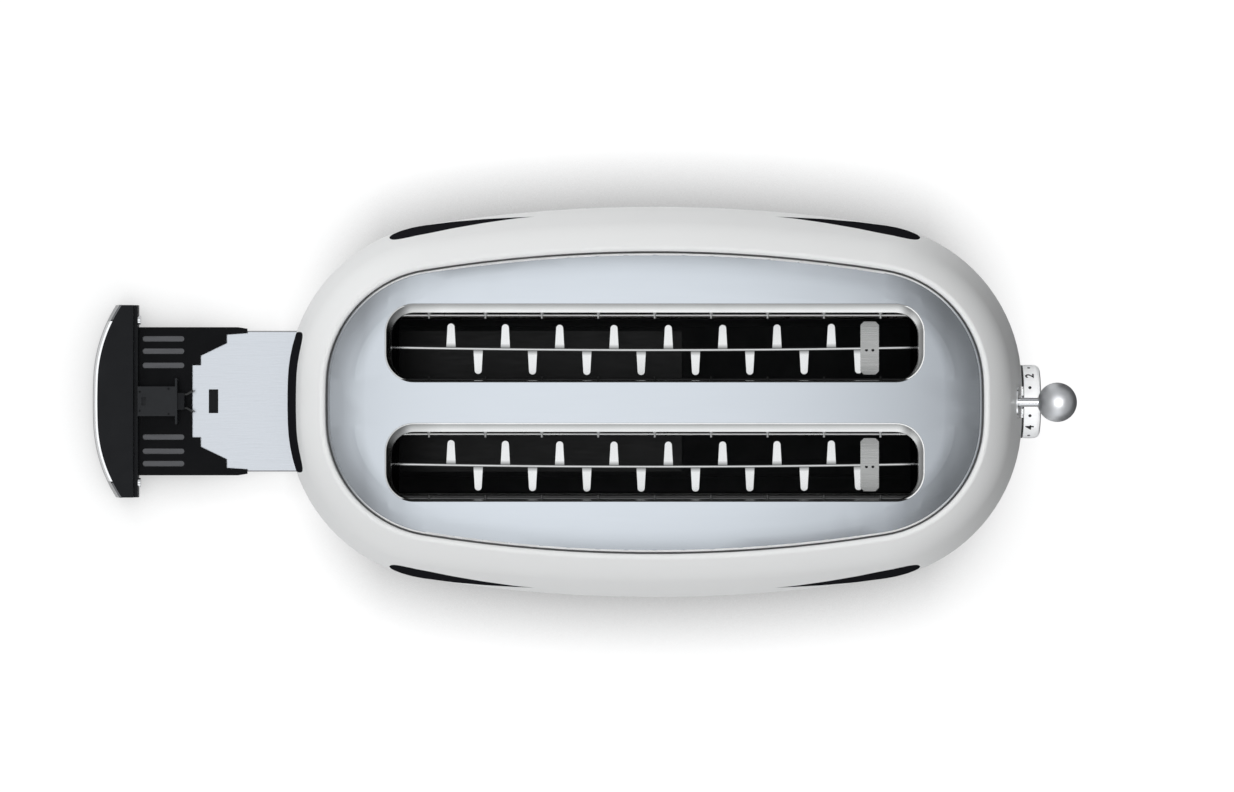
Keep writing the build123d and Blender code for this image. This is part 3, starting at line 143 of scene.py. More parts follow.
class Look(Graph):
    """A procedural material: a Principled shader and the nodes that feed it."""

    def __init__(self, name, colour, metallic=0.0, roughness=0.5, **sockets):
        self.material = bpy.data.materials.new(name)
        self.material.use_nodes = True
        super().__init__(self.material.node_tree)
        self.shader = self.nodes["Principled BSDF"]
        self.colour = (*colour, 1.0)
        self.set("Base Color", self.colour)
        self.set("Metallic", metallic)
        self.set("Roughness", roughness)
        for key, value in sockets.items():
            self.set(key.replace("_", " "), value)
        self.place = self.add("ShaderNodeTexCoord").outputs["Object"]

    def set(self, socket, value):
        self.shader.inputs[socket].default_value = value

    def drive(self, socket, value):
        """Feeds one of the shader's sockets."""
        self.feed(value, self.shader.inputs[socket])

    def axes(self):
        """The three object coordinates as outputs."""
        return self.parts(self.place)

    def noise(self, scale, detail):
        """Noise over the object, with its own scale on each axis."""
        mapping = self.add("ShaderNodeMapping")
        mapping.inputs["Scale"].default_value = scale
        self.feed(self.place, mapping.inputs["Vector"])
        node = self.add("ShaderNodeTexNoise")
        node.inputs["Scale"].default_value = 1.0
        node.inputs["Detail"].default_value = detail
        node.inputs["Roughness"].default_value = NOISE_ROUGHNESS
        self.feed(mapping.outputs["Vector"], node.inputs["Vector"])
        return node.outputs["Fac"]

    def spread(self, value, low, high):
        """Maps the middle of a noise onto low to high."""
        return self.ramp(value, NOISE_LOW, NOISE_HIGH, low, high)

    def link_colour(self, target):
        """Passes on whatever feeds the base colour so far."""
        base = self.shader.inputs["Base Color"]
        if base.is_linked:
            self.feed(base.links[0].from_socket, target)
        else:
            target.default_value = self.colour

    def shade(self, grey):
        """Multiplies the base colour by a grey output."""
        mix = self.add("ShaderNodeMix", data_type="RGBA", blend_type="MULTIPLY")
        mix.inputs["Factor"].default_value = 1.0
        self.link_colour(mix.inputs["A"])
        self.feed(grey, mix.inputs["B"])
        self.drive("Base Color", mix.outputs["Result"])

    def mix_colour(self, mask, colour):
        """Shows another colour where the mask is 1."""
        mix = self.add("ShaderNodeMix", data_type="RGBA")
        self.link_colour(mix.inputs["A"])
        mix.inputs["B"].default_value = (*colour, 1.0)
        self.feed(mask, mix.inputs["Factor"])
        self.drive("Base Color", mix.outputs["Result"])

    def vary_colour(self, value, amount):
        """Darkens and lightens the base colour by a share."""
        self.shade(self.spread(value, 1 - amount, 1 + amount))

    def vary_roughness(self, value, low, high):
        self.drive("Roughness", self.spread(value, low, high))

    def bump(self, value, height, strength=1.0):
        """Adds a relief to whatever feeds the normal so far."""
        node = self.add("ShaderNodeBump")
        node.inputs["Strength"].default_value = strength
        node.inputs["Distance"].default_value = height
        self.feed(value, node.inputs["Height"])
        normal = self.shader.inputs["Normal"]
        if normal.is_linked:
            self.feed(normal.links[0].from_socket, node.inputs["Normal"])
        self.drive("Normal", node.outputs["Normal"])


# Plain materials

BRUSH_RELIEF = 0.00001
FINE_RELIEF = 0.00002


def brushed(name, colour, grain, roughness, tone, depth=0.05):
    """Brushed metal with its grain along one axis."""
    look = Look(name, colour, metallic=1.0, roughness=sum(roughness) / 2)
    fine = look.noise(grain, 4)
    look.vary_colour(fine, tone)
    look.vary_roughness(fine, *roughness)
    look.bump(fine, BRUSH_RELIEF, depth)
    return look


def plain_metal(name, colour, roughness, tone=0.04):
    """Smooth metal with slight smudges."""
    look = Look(name, colour, metallic=1.0, roughness=roughness)
    smudge = look.noise((60, 60, 60), 4)
    look.vary_colour(smudge, tone)
    look.vary_roughness(smudge, roughness * 0.8, roughness * 1.25)
    return look


def moulded(name, colour, roughness, grain=1800, **sockets):
    """Moulded plastic or rubber with a fine texture."""
    look = Look(name, colour, roughness=roughness, **sockets)
    fine = look.noise((grain, grain, grain), 2)
    look.vary_colour(look.noise((40, 40, 40), 3), 0.1)
    look.vary_roughness(look.noise((90, 90, 90), 3), roughness * 0.9, roughness * 1.12)
    look.bump(fine, FINE_RELIEF, 0.3)
    return look


BRIGHT = plain_metal("bright_steel", (0.78, 0.78, 0.77), 0.3)
ZINC = plain_metal("zinc_steel", (0.5, 0.51, 0.52), 0.38, tone=0.08)
CHROME = plain_metal("chrome", (0.86, 0.865, 0.875), 0.07, tone=0.01)
SATIN = plain_metal("satin_chrome", (0.86, 0.865, 0.88), 0.24)
BALL = plain_metal("ball_chrome", (0.8, 0.81, 0.83), 0.45, tone=0.01)
STEM = plain_metal("stem_chrome", (0.7, 0.705, 0.72), 0.1, tone=0.01)
CLAW = plain_metal("claw_steel", (0.06, 0.06, 0.06), 0.4)
# Near-black steel for the chamber's walls, divider and end plates: painted shade deep inside the
# slots
CHAMBER_PAINTED_SHADE = plain_metal("chamber_painted_shade_steel", (0.03, 0.03, 0.032), 0.5)
# Dark and grey steel for the grids on the −Y side of the slots: painted shade, where the lips shade
# them
GRID_PAINTED_DARK_SHADE = plain_metal("grid_painted_dark_shade", (0.05, 0.05, 0.05), 0.4)
GRID_PAINTED_GREY_SHADE = plain_metal("grid_painted_grey_shade", (0.22, 0.22, 0.22), 0.35)
RIBBON = plain_metal("heating_ribbon", (0.1, 0.09, 0.085), 0.45)
COPPER = plain_metal("copper_winding", (0.5, 0.22, 0.1), 0.3)
BRASS = plain_metal("brass", (0.62, 0.44, 0.18), 0.25)
CROSS = brushed("cross_plate_steel", (0.56, 0.56, 0.55), (60, 1800, 1800), (0.24, 0.34), 0.1)
BLACK = moulded("black_plastic", (0.009, 0.0095, 0.011), 0.42, Specular_IOR_Level=0.16)
FRAME_BLACK = moulded("black_frame", (0.004, 0.0042, 0.005), 0.5, Specular_IOR_Level=0.12)
HOUSING_BLACK = moulded("black_housing", (0.019, 0.02, 0.022), 0.45, Specular_IOR_Level=0.2)
SEAL = moulded("panel_seal", (0.2, 0.2, 0.203), 0.4)
RUBBER = moulded("black_rubber", (0.014, 0.014, 0.014), 0.75, grain=900)
MICA = moulded("mica", (0.06, 0.048, 0.036), 0.45, grain=300)
BOARD = moulded("circuit_board", (0.015, 0.09, 0.04), 0.35)
INK = moulded("dial_ink", (0.01, 0.01, 0.011), 0.4)


# The enamel. Its stripes run from a tip to a root, measured from the body's middle line
STRIPE_TIP = 0.062
STRIPE_ROOT = 0.140
STRIPE_HALF_HEIGHT = 0.042
STRIPE_TIP_Z = 0.152
STRIPE_DROP = 0.012
STRIPE_MIN_Y = 0.05
STRIPE_TAPER = 1.3
STRIPE_ROUNDING = 9.0
STRIPE_SHARPNESS = 4000.0
REAR_PANEL_MAX_X = BODY_X - 0.15
REAR_PANEL_HALF_Y = 0.037
REAR_PANEL_HALF_Z = 0.064
REAR_PANEL_Z = 0.120
REAR_PANEL_SQUARENESS = 8.0
REAR_PANEL_SHARPNESS = 60.0
PRINT_BLACK = (0.011, 0.011, 0.013)


def tapered_stripes(look, x, y, z):
    """Mask of the stripes on the shoulders."""
    along = look.away(x, BODY_X)
    share = look.math("DIVIDE", look.math("SUBTRACT", along, STRIPE_TIP), STRIPE_ROOT - STRIPE_TIP)
    inside = look.product(look.math("GREATER_THAN", share, 0.0), look.math("LESS_THAN", share, 1.0))
    ahead = look.math("MAXIMUM", share, 0.0)
    rise = look.math("POWER", ahead, STRIPE_TAPER)
    fall = look.remainder(look.math("POWER", ahead, STRIPE_ROUNDING))
    round_root = look.math("SQRT", look.math("MAXIMUM", fall, 0.0))
    half = look.product(rise, round_root, STRIPE_HALF_HEIGHT)
    middle = look.math("ADD", look.product(share, -STRIPE_DROP), STRIPE_TIP_Z)
    over = look.math("SUBTRACT", half, look.away(z, middle))
    stripe = look.step(over, STRIPE_SHARPNESS)
    side = look.math("GREATER_THAN", look.math("ABSOLUTE", y), STRIPE_MIN_Y)
    return look.product(stripe, inside, side)


def rear_panel(look, x, y, z):
    """Mask of the rounded panel on the rear end."""
    across = look.math("DIVIDE", look.math("ABSOLUTE", y), REAR_PANEL_HALF_Y)
    up = look.math("DIVIDE", look.away(z, REAR_PANEL_Z), REAR_PANEL_HALF_Z)
    powers = [look.math("POWER", part, REAR_PANEL_SQUARENESS) for part in (across, up)]
    panel = look.step(look.remainder(look.math("ADD", *powers)), REAR_PANEL_SHARPNESS)
    return look.product(panel, look.math("LESS_THAN", x, REAR_PANEL_MAX_X))


def painted_white():
    """Glossy enamel with plain black print, which is duller than the enamel."""
    look = Look("enamel_white", (0.80, 0.80, 0.795), roughness=0.42, Coat_Roughness=0.1)
    look.bump(look.noise((900, 900, 900), 2), FINE_RELIEF, 0.25)
    x, y, z = look.axes()
    print_mask = look.math("MAXIMUM", tapered_stripes(look, x, y, z), rear_panel(look, x, y, z))
    look.mix_colour(print_mask, PRINT_BLACK)
    bare = look.remainder(print_mask)
    look.drive("Coat Weight", look.product(bare, 0.12))
    look.drive("Specular IOR Level", look.product(bare, 0.26))
    return look


# The top panel. It is slightly domed, more so beyond the crown's reach, and its edge rolls down
CROWN_REACH = 0.15
CROWN_HEIGHT = 0.0032
ROLL_START_Z = PANEL_TOP - 0.00134
ROLL_FULL_Z = PANEL_TOP - 0.00142
ROLL_FADE_START = PANEL_HALF_X - 0.030
ROLL_FADE_END = PANEL_HALF_X - 0.006


def crown(look):
    """Tilts the shading a little towards both ends, as on a slightly domed sheet."""
    x, y, z = look.axes()
    away = look.product(look.away(x, BODY_X), 1.0 / CROWN_REACH)
    inner = look.math("POWER", look.math("MINIMUM", away, 1.0), 2.5)
    outer = look.math("MAXIMUM", look.math("SUBTRACT", away, 1.0), 0.0)
    fall = look.math("SUBTRACT", look.product(outer, 2.5), look.product(outer, outer, 11.0))
    look.bump(look.product(look.math("ADD", inner, fall), -1.0), CROWN_HEIGHT)


def bright_edge(look):
    """Painted highlight: a pale line along both sides, where the polished edge rolls down into the
    groove.
    """
    x, y, z = look.axes()
    sides = look.ramp(look.away(x, BODY_X), ROLL_FADE_START, ROLL_FADE_END, 1.0, 0.1)
    # Painted highlight: pale and not metallic where the edge rolls down
    edge_highlight = look.product(look.ramp(z, ROLL_START_Z, ROLL_FULL_Z, 0.0, 1.0), sides)
    look.mix_colour(edge_highlight, (0.95, 0.95, 0.95))
    look.drive("Metallic", look.remainder(edge_highlight))


def panel_steel():
    """Finely brushed steel with a bluish cast."""
    grain = (30, 2600, 2600)
    look = brushed("brushed_panel", (0.66, 0.695, 0.74), grain, (0.17, 0.21), 0.012, 0.012)
    crown(look)
    # Painted highlight along the panel's rolled edge
    bright_edge(look)
    return look


# The crumb tray's plate. It carries painted shade: black from inside the body on, and darker at its
# root, which lies under the frame
TRAY_INTERIOR_SHADE_X = BODY_X - 0.160
TRAY_SHADED_ROOT_X = BODY_X - 0.2585
TRAY_EDGE_WIDTH = 0.0007
TRAY_INTERIOR_SHADE_SHARPNESS = 3000.0


def tray_steel():
    """Brushed steel with painted shade, black inside the body and darker at its root under the
    frame; darker at its side edges.
    """
    grain = (80, 1000, 1000)
    look = brushed("brushed_tray", (0.66, 0.685, 0.725), grain, (0.18, 0.26), 0.09, 0.03)
    x, y, z = look.axes()
    edge = look.math("GREATER_THAN", look.math("ABSOLUTE", y), TRAY_HIGH[1] - TRAY_EDGE_WIDTH)
    look.mix_colour(edge, (0.28, 0.28, 0.29))
    # Painted shade: near-black where the plate lies inside the body
    interior_shade = look.step(look.math("SUBTRACT", x, TRAY_INTERIOR_SHADE_X), TRAY_INTERIOR_SHADE_SHARPNESS)
    look.mix_colour(interior_shade, (0.008, 0.008, 0.009))
    # Painted shade on the root, under the frame
    look.mix_colour(look.math("LESS_THAN", x, TRAY_SHADED_ROOT_X), (0.10, 0.10, 0.105))
    bare = look.remainder(interior_shade)
    look.drive("Metallic", bare)
    look.drive("Specular IOR Level", look.math("ADD", look.product(bare, 0.25), 0.25))
    return look


# The bright band on the tray's front piece
BAND_SEAM_Y = 0.0443
BAND_SEAM_HALF = 0.0004
BAND_SHADE_HEIGHT = 0.0045


def band_chrome():
    """Chrome with dark ends beyond a seam, and painted shade along its lower edge."""
    look = plain_metal("tray_band", (0.93, 0.93, 0.94), 0.1, tone=0.01)
    x, y, z = look.axes()
    across = look.math("ABSOLUTE", y)
    look.mix_colour(look.math("GREATER_THAN", across, BAND_SEAM_Y), (0.13, 0.13, 0.135))
    # Painted shade along the band's lower edge
    low = look.math("LESS_THAN", z, BAND_LOW_Z + BAND_SHADE_HEIGHT)
    look.mix_colour(low, (0.09, 0.09, 0.095))
    seam = look.math("LESS_THAN", look.away(across, BAND_SEAM_Y), BAND_SEAM_HALF)
    look.mix_colour(seam, (0.02, 0.02, 0.02))
    return look


# The browning dial
DIAL_SHADOW_GAP_X = BODY_X + 0.1987
DIAL_END_DEPTH = 0.0006
DIAL_EDGE_WIDTH = 0.0022
DIAL_METALLIC = 0.15


def dial_silver():
    """Bright silver drum with painted shadow where it meets the body, a dark front edge and a
    brushed face.
    """
    look = Look("dial_silver", (0.98, 0.985, 0.99), metallic=DIAL_METALLIC, roughness=0.4)
    x, y, z = look.axes()
    fine = look.noise((40, 900, 900), 3)
    look.vary_colour(fine, 0.02)
    look.bump(fine, BRUSH_RELIEF, 0.1)
    reach = look.length(y, look.math("SUBTRACT", z, DIAL_Z))
    end = look.math("GREATER_THAN", x, DIAL_HIGH[0] - DIAL_END_DEPTH)
    face = look.product(end, look.math("LESS_THAN", reach, DIAL_RADIUS - DIAL_EDGE_WIDTH))
    # Painted shadow: a near-black band on the drum next to the body
    shadow_gap = look.math("LESS_THAN", x, DIAL_SHADOW_GAP_X)
    look.mix_colour(end, (0.2, 0.2, 0.21))
    look.mix_colour(face, (0.66, 0.665, 0.675))
    look.mix_colour(shadow_gap, (0.015, 0.015, 0.016))
    drum = look.product(look.remainder(shadow_gap), DIAL_METALLIC)
    look.drive("Metallic", look.math("ADD", drum, look.product(face, 0.8)))
    return look


# The lips of the two slots: widths of their zones, from the outer edge inward; most of these zones
# carry painted shade
LIP_CORNER = 0.015
LIP_HEM = 0.0005
LIP_BRIGHT = 0.0035
LIP_SHADED_HEM_SIDE = 0.0012
LIP_DARK_SIDE = 0.0014
LIP_LIT_SIDE = 0.0017
LIP_DULL_END = 0.007
LIP_SHADED_END = 0.004
LIP_LIT_END = 0.03
LIP_END_SHARPNESS = 400.0


def off_middle(look, y, shift=0.0):
    """How far a point is from the middle line of its own slot, across."""
    return look.math("SUBTRACT", look.away(y, SLOTS_MIDDLE_Y + shift), SLOTS_HALF_Y)


def lip_depth(look, x, y):
    """How far a point is inside the lip's outer edge, round its corners too."""
    far_x = look.math("SUBTRACT", look.away(x, BODY_X), LIP_HALF_X - LIP_CORNER)
    off_y = look.math("ABSOLUTE", off_middle(look, y))
    far_y = look.math("SUBTRACT", off_y, LIP_HALF_Y - LIP_CORNER)
    corner = look.length(look.math("MAXIMUM", far_x, 0.0), look.math("MAXIMUM", far_y, 0.0))
    inner = look.math("MINIMUM", look.math("MAXIMUM", far_x, far_y), 0.0)
    return look.math("SUBTRACT", LIP_CORNER, look.math("ADD", corner, inner))


def lip_steel():
    """Bright steel with painted shade: the lip darkens towards its pale hem, the right slot's hem
    stays dark on its +Y side, each lip is dark along its lower, −Y side, and the rear end is
    darker.
    """
    look = plain_metal("lip_steel", (0.97, 0.97, 0.96), 0.2, tone=0.02)
    x, y, z = look.axes()
    depth = lip_depth(look, x, y)
    offset = look.math("SUBTRACT", y, SLOTS_MIDDLE_Y)
    right = look.math("GREATER_THAN", offset, 0.0)
    side = look.math("SUBTRACT", offset, look.product(look.math("SIGN", offset), SLOTS_HALF_Y))
    # Painted shade: the lip darkens towards its pale hem
    slope = look.ramp(depth, LIP_HEM, LIP_BRIGHT, 0.4, 0.93)
    # Painted shade: on the right slot's +Y side the hem is not kept pale
    plain = look.product(right, look.math("GREATER_THAN", side, LIP_HALF_Y - LIP_SHADED_HEM_SIDE))
    hem = look.product(look.math("LESS_THAN", depth, LIP_HEM), look.remainder(plain))
    # Painted shadow along the −Y edge of each lip
    low = look.ramp(side, LIP_DARK_SIDE - LIP_HALF_Y, LIP_LIT_SIDE - LIP_HALF_Y, 0.03, 1.0)
    look.shade(look.product(look.math("MAXIMUM", slope, hem), low))
    beyond = look.math("SUBTRACT", x, BODY_X + LIP_HALF_X - LIP_DULL_END)
    end = look.step(beyond, LIP_END_SHARPNESS)
    look.drive("Metallic", look.remainder(look.product(end, 0.45)))
    rear = BODY_X - LIP_HALF_X
    # Painted shade towards the rear end
    look.shade(look.ramp(x, rear + LIP_SHADED_END, rear + LIP_LIT_END, 0.6, 1.0))
    return look


# The racks' rails: half their length, how far they bow, and their place off the slot's middle
RAIL_HALF_LENGTH = 0.135
RAIL_BOW = 0.0013
RAIL_SHIFT = -0.0033
RAIL_CREST = 0.0003
FINGER_SHADED = 0.0005
FINGER_LIT = 0.003


def rack_steel():
    """Bright steel, darker beside the rail's crest, with painted shade on its fingers' roots."""
    look = plain_metal("rack_steel", (0.78, 0.78, 0.775), 0.16, tone=0.02)
    x, y, z = look.axes()
    share = look.math("DIVIDE", look.math("SUBTRACT", x, BODY_X), RAIL_HALF_LENGTH)
    bow = look.product(share, share, RAIL_BOW)
    away = look.math("ABSOLUTE", off_middle(look, look.math("SUBTRACT", y, bow), RAIL_SHIFT))
    crest = look.math("LESS_THAN", away, RAIL_CREST)
    # Painted shade on the fingers' roots, next to the rail
    root = look.ramp(away, FINGER_SHADED, FINGER_LIT, 0.2, 1.0)
    look.shade(look.math("MAXIMUM", root, look.product(crest, 0.85)))
    return look


# A key is a node's name, or the start of the names of several nodes
LOOKS = {
    "body_shell": painted_white(),
    "top_panel": panel_steel(),
    "panel_support_ring": SEAL,
    "lever_slot_trim": CHROME,
    "slot_liner": lip_steel(),
    "bread_rack": rack_steel(),
    "rack_cross_plate": CROSS,
    # The two grids on the −Y side of the slots carry painted shade
    "bread_grid_right_inner": GRID_PAINTED_DARK_SHADE,
    "bread_grid_left_outer": GRID_PAINTED_GREY_SHADE,
    "bread_grid": BRIGHT,
    # The chamber's walls and plates carry painted shade
    "side_reflector": CHAMBER_PAINTED_SHADE,
    "centre_divider": CHAMBER_PAINTED_SHADE,
    "mica_board": MICA,
    "heating_ribbon": RIBBON,
    "front_chassis_plate": CHAMBER_PAINTED_SHADE,
    "rear_chassis_plate": CHAMBER_PAINTED_SHADE,
    "base_tub": HOUSING_BLACK,
    "base_band": CHROME,
    "base_screws": ZINC,
    "rubber_feet": RUBBER,
    "cord_gland": RUBBER,
    "carriage": ZINC,
    "carriage_spring": BRIGHT,
    "guide_rods": CHROME,
    "magnet_armature": ZINC,
    "electromagnet": COPPER,
    "lever_arm": ZINC,
    "lever_stem": STEM,
    "lever_ball": BALL,
    "circuit_board": BOARD,
    "board_standoffs": BRASS,
    "browning_potentiometer": ZINC,
    "dial_shaft": BRIGHT,
    "browning_dial": dial_silver(),
    "reheat_button": SATIN,
    "defrost_button": SATIN,
    "bagel_button": SATIN,
    "button_bezels": CHROME,
    "button_switches": BLACK,
    "crumb_tray_plate": tray_steel(),
    "crumb_tray_frame": FRAME_BLACK,
    "crumb_tray_front": BLACK,
    "crumb_tray_front_band": band_chrome(),
    "crumb_tray_band_screws": CHROME,
    "tray_latch_housing": HOUSING_BLACK,
    "tray_latch_plunger": BLACK,
    "tray_latch_claws": CLAW,
    "tray_latch_striker": ZINC,
}


def look_of(node):
    """The look of a node: its own, or that of the group that its name starts with."""
    if node in LOOKS:
        return LOOKS[node]
    return next(look for name, look in LOOKS.items() if node.startswith(name + "_"))


def dress_nodes():
    """Gives each CAD node its material."""
    for name, piece in NODES.items():
        material = look_of(name).material
        if piece.material_slots:
            for place in piece.material_slots:
                place.material = material
        else:
            piece.data.materials.append(material)


WELD_REACH = 0.000002
SPLIT_ANGLE = 0.6


def even_normals(piece):
    """Shades a bent sheet evenly across the line where its flat part ends."""
    weld = piece.modifiers.new("weld", "WELD")
    weld.merge_threshold = WELD_REACH
    split = piece.modifiers.new("split", "EDGE_SPLIT")
    split.split_angle = SPLIT_ANGLE
    even = piece.modifiers.new("even", "WEIGHTED_NORMAL")
    even.mode = "FACE_AREA"
    even.weight = 50


# The dial's numbers and dots: angles in degrees, sizes in metres
NUMBERS = 6
TOP_NUMBER = 3
NUMBER_STEP = 45
NUMBER_HEIGHT = 0.0043
NUMBER_X = BODY_X + 0.2019
DIGIT_SHARE = 0.69
STROKE_GROWTH = 0.00016
DOT_RADIUS = 0.00085
DOT_SIDES = 20
INK_THICKNESS = 0.00006
INK_GAP = 0.00002


def text_mesh(text):
    """Flat outline of a number, centred, as a mesh with many small faces."""
    curve = bpy.data.curves.new("number", "FONT")
    curve.body = text
    curve.size = NUMBER_HEIGHT / DIGIT_SHARE
    curve.align_x = "CENTER"
    curve.offset = STROKE_GROWTH
    curve.resolution_u = 6
    carrier = bpy.data.objects.new("number", curve)
    SCENE.collection.objects.link(carrier)
    bpy.context.view_layer.update()
    depsgraph = bpy.context.evaluated_depsgraph_get()
    mesh = bpy.data.meshes.new_from_object(carrier.evaluated_get(depsgraph))
    bpy.data.objects.remove(carrier)
    across = [vertex.co.x for vertex in mesh.vertices]
    up = [vertex.co.y for vertex in mesh.vertices]
    middle_x = (min(across) + max(across)) / 2
    middle_y = (min(up) + max(up)) / 2
    for vertex in mesh.vertices:
        vertex.co.x -= middle_x
        vertex.co.y -= middle_y
    return mesh


def dot_mesh():
    """Flat round dot."""
    mesh = bpy.data.meshes.new("dot")
    turns = [2 * pi * i / DOT_SIDES for i in range(DOT_SIDES)]
    points = [(DOT_RADIUS * cos(turn), DOT_RADIUS * sin(turn), 0) for turn in turns]
    mesh.from_pydata(points, [], [list(range(DOT_SIDES))])
    return mesh


def wrap_on_dial(mesh, angle, name):
    """Bends a flat mark round the dial's rim. Angle 0 is the top, and it grows towards +Y."""
    piece = bpy.data.objects.new(name, mesh)
    SCENE.collection.objects.link(piece)
    solid = piece.modifiers.new("thickness", "SOLIDIFY")
    solid.thickness = INK_THICKNESS
    solid.offset = 1
    radius = DIAL_RADIUS + INK_GAP
    for vertex in mesh.vertices:
        turn = radians(angle) + vertex.co.x / radius
        across, up = radius * sin(turn), DIAL_Z + radius * cos(turn)
        vertex.co = Vector((NUMBER_X - vertex.co.y, across, up))
    mesh.materials.append(INK.material)
    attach(piece, "dial")


def number_angle(number):
    """Place of a number on the rim; the top number is at angle 0."""
    return (TOP_NUMBER - number) * NUMBER_STEP


def dial_marks():
    """A number every step round the rim, a dot between each two, and one beyond both ends."""
    half = NUMBER_STEP / 2
    for number in range(1, NUMBERS + 1):
        wrap_on_dial(text_mesh(str(number)), number_angle(number), f"dial_number_{number}")
        if number < NUMBERS:
            wrap_on_dial(dot_mesh(), number_angle(number) - half, f"dial_dot_{number}")
    wrap_on_dial(dot_mesh(), number_angle(1) + half, "dial_dot_low")
    wrap_on_dial(dot_mesh(), number_angle(NUMBERS) - half, "dial_dot_high")


# The pad under the crumb tray's hole: length, width and thickness of its plate and its bar
PAD_X = BODY_X - 0.2426
PAD_TOP = TRAY_LOW[2] - 0.0001
PAD_PLATE = (0.0105, 0.0185, 0.0006)
PAD_PLATE_Z = PAD_TOP - 0.0003
PAD_BAR = (0.0016, 0.0118, 0.0004)
PAD_BAR_Z = PAD_TOP + 0.0001
PAD_CORNER = 0.0006
UPRIGHT_EDGE = 0.0002


def catch_pad():
    """Black pad with rounded corners and a raised middle bar."""
    mesh = bmesh.new()
    for size, height in ((PAD_PLATE, PAD_PLATE_Z), (PAD_BAR, PAD_BAR_Z)):
        made = bmesh.ops.create_cube(mesh, size=1.0)
        bmesh.ops.scale(mesh, vec=size, verts=made["verts"])
        bmesh.ops.translate(mesh, vec=(PAD_X, 0, height), verts=made["verts"])
    upright = [edge for edge in mesh.edges
               if abs(edge.verts[0].co.z - edge.verts[1].co.z) > UPRIGHT_EDGE]
    bmesh.ops.bevel(mesh, geom=upright, offset=PAD_CORNER, segments=3, affect="EDGES")
    data = bpy.data.meshes.new("tray_catch_pad")
    mesh.to_mesh(data)
    mesh.free()
    piece = bpy.data.objects.new("tray_catch_pad", data)
    SCENE.collection.objects.link(piece)
    data.materials.append(BLACK.material)
    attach(piece, "crumb_tray")


# The floor. Its shadow keeps to the body's long sides and to the tray
FLOOR_SIZE = 12.0
FLOOR_GLOW = 0.8
FLOOR_DARK_X = BODY_X + 0.16
FLOOR_DARK_FADE = 10.0
SHADE_REACH = 0.05
SHADE_DEPTH = 1.2
SHADE_END = 0.15
SHADE_TRAY_X = BODY_X - 0.19
SHADE_FADE = 16.0


def floor_shadow(look, x):
    """How much the contact shadow takes away."""
    shade = look.add("ShaderNodeAmbientOcclusion", samples=8)
    shade.inputs["Distance"].default_value = SHADE_REACH
    depth = look.remainder(shade.outputs["AO"])
    ends = look.math("SUBTRACT", look.away(x, BODY_X), SHADE_END)
    ends = look.math("SUBTRACT", 1.0, look.product(ends, SHADE_FADE), clamp=True)
    tray = look.product(look.step(look.math("SUBTRACT", SHADE_TRAY_X, x), SHADE_FADE), 0.5)
    return look.product(depth, look.product(look.math("MAXIMUM", ends, tray), SHADE_DEPTH))


def floor():
    """White floor with a soft shadow, darker in reflections on the control end's side."""
    half = FLOOR_SIZE / 2
    corners = [(BODY_X - half, -half, 0.0), (BODY_X + half, -half, 0.0),
               (BODY_X + half, half, 0.0), (BODY_X - half, half, 0.0)]
    mesh = bpy.data.meshes.new("floor")
    mesh.from_pydata(corners, [], [(0, 1, 2, 3)])
    piece = bpy.data.objects.new("floor", mesh)
    SCENE.collection.objects.link(piece)
    look = Look("floor", (0.75, 0.75, 0.75), roughness=0.9, Specular_IOR_Level=0.0)
    x, y, z = look.axes()
    dark = look.step(look.math("SUBTRACT", x, FLOOR_DARK_X), FLOOR_DARK_FADE)
    look.mix_colour(dark, (0.05, 0.05, 0.05))
    white = look.remainder(floor_shadow(look, x))
    shown = look.add("ShaderNodeBsdfDiffuse")
    glow = look.add("ShaderNodeEmission")
    glow.inputs["Strength"].default_value = FLOOR_GLOW
    look.feed(look.product(white, 0.3), shown.inputs["Color"])
    look.feed(white, glow.inputs["Color"])
    both = look.add("ShaderNodeAddShader")
    look.feed(shown.outputs[0], both.inputs[0])
    look.feed(glow.outputs[0], both.inputs[1])
    mix = look.add("ShaderNodeMixShader")
    look.feed(look.add("ShaderNodeLightPath").outputs["Is Camera Ray"], mix.inputs[0])
    look.feed(look.shader.outputs[0], mix.inputs[1])
    look.feed(both.outputs[0], mix.inputs[2])
    look.feed(mix.outputs[0], look.nodes["Material Output"].inputs["Surface"])
    mesh.materials.append(look.material)


# Light

def softbox(name, place, target, size, power):
    """Rectangular lamp that the camera and reflections don't see."""
    lamp = bpy.data.lights.new(name, "AREA")
    lamp.shape = "RECTANGLE"
    lamp.size, lamp.size_y = size
    lamp.energy = power
    piece = bpy.data.objects.new(name, lamp)
    piece.location = place
    direction = Vector(target) - Vector(place)
    piece.rotation_euler = direction.to_track_quat("-Z", "Y").to_euler()
    piece.visible_camera = False
    piece.visible_glossy = False
    SCENE.collection.objects.link(piece)
    return piece


def controls_lamp():
    """Lamp that lights only the dial and the lever, as one with a snoot would."""
    target = (BODY_X + 0.2, 0, 0.1)
    lamp = softbox("controls", (BODY_X + 0.41, 0.0, 2.7), target, (1.8, 1.8), 40)
    lamp.visible_glossy = True
    lit = bpy.data.collections.new("lit_controls")
    for name in ("browning_dial", "lever_ball", "lever_stem"):
        lit.objects.link(NODES[name])
    lamp.light_linking.receiver_collection = lit


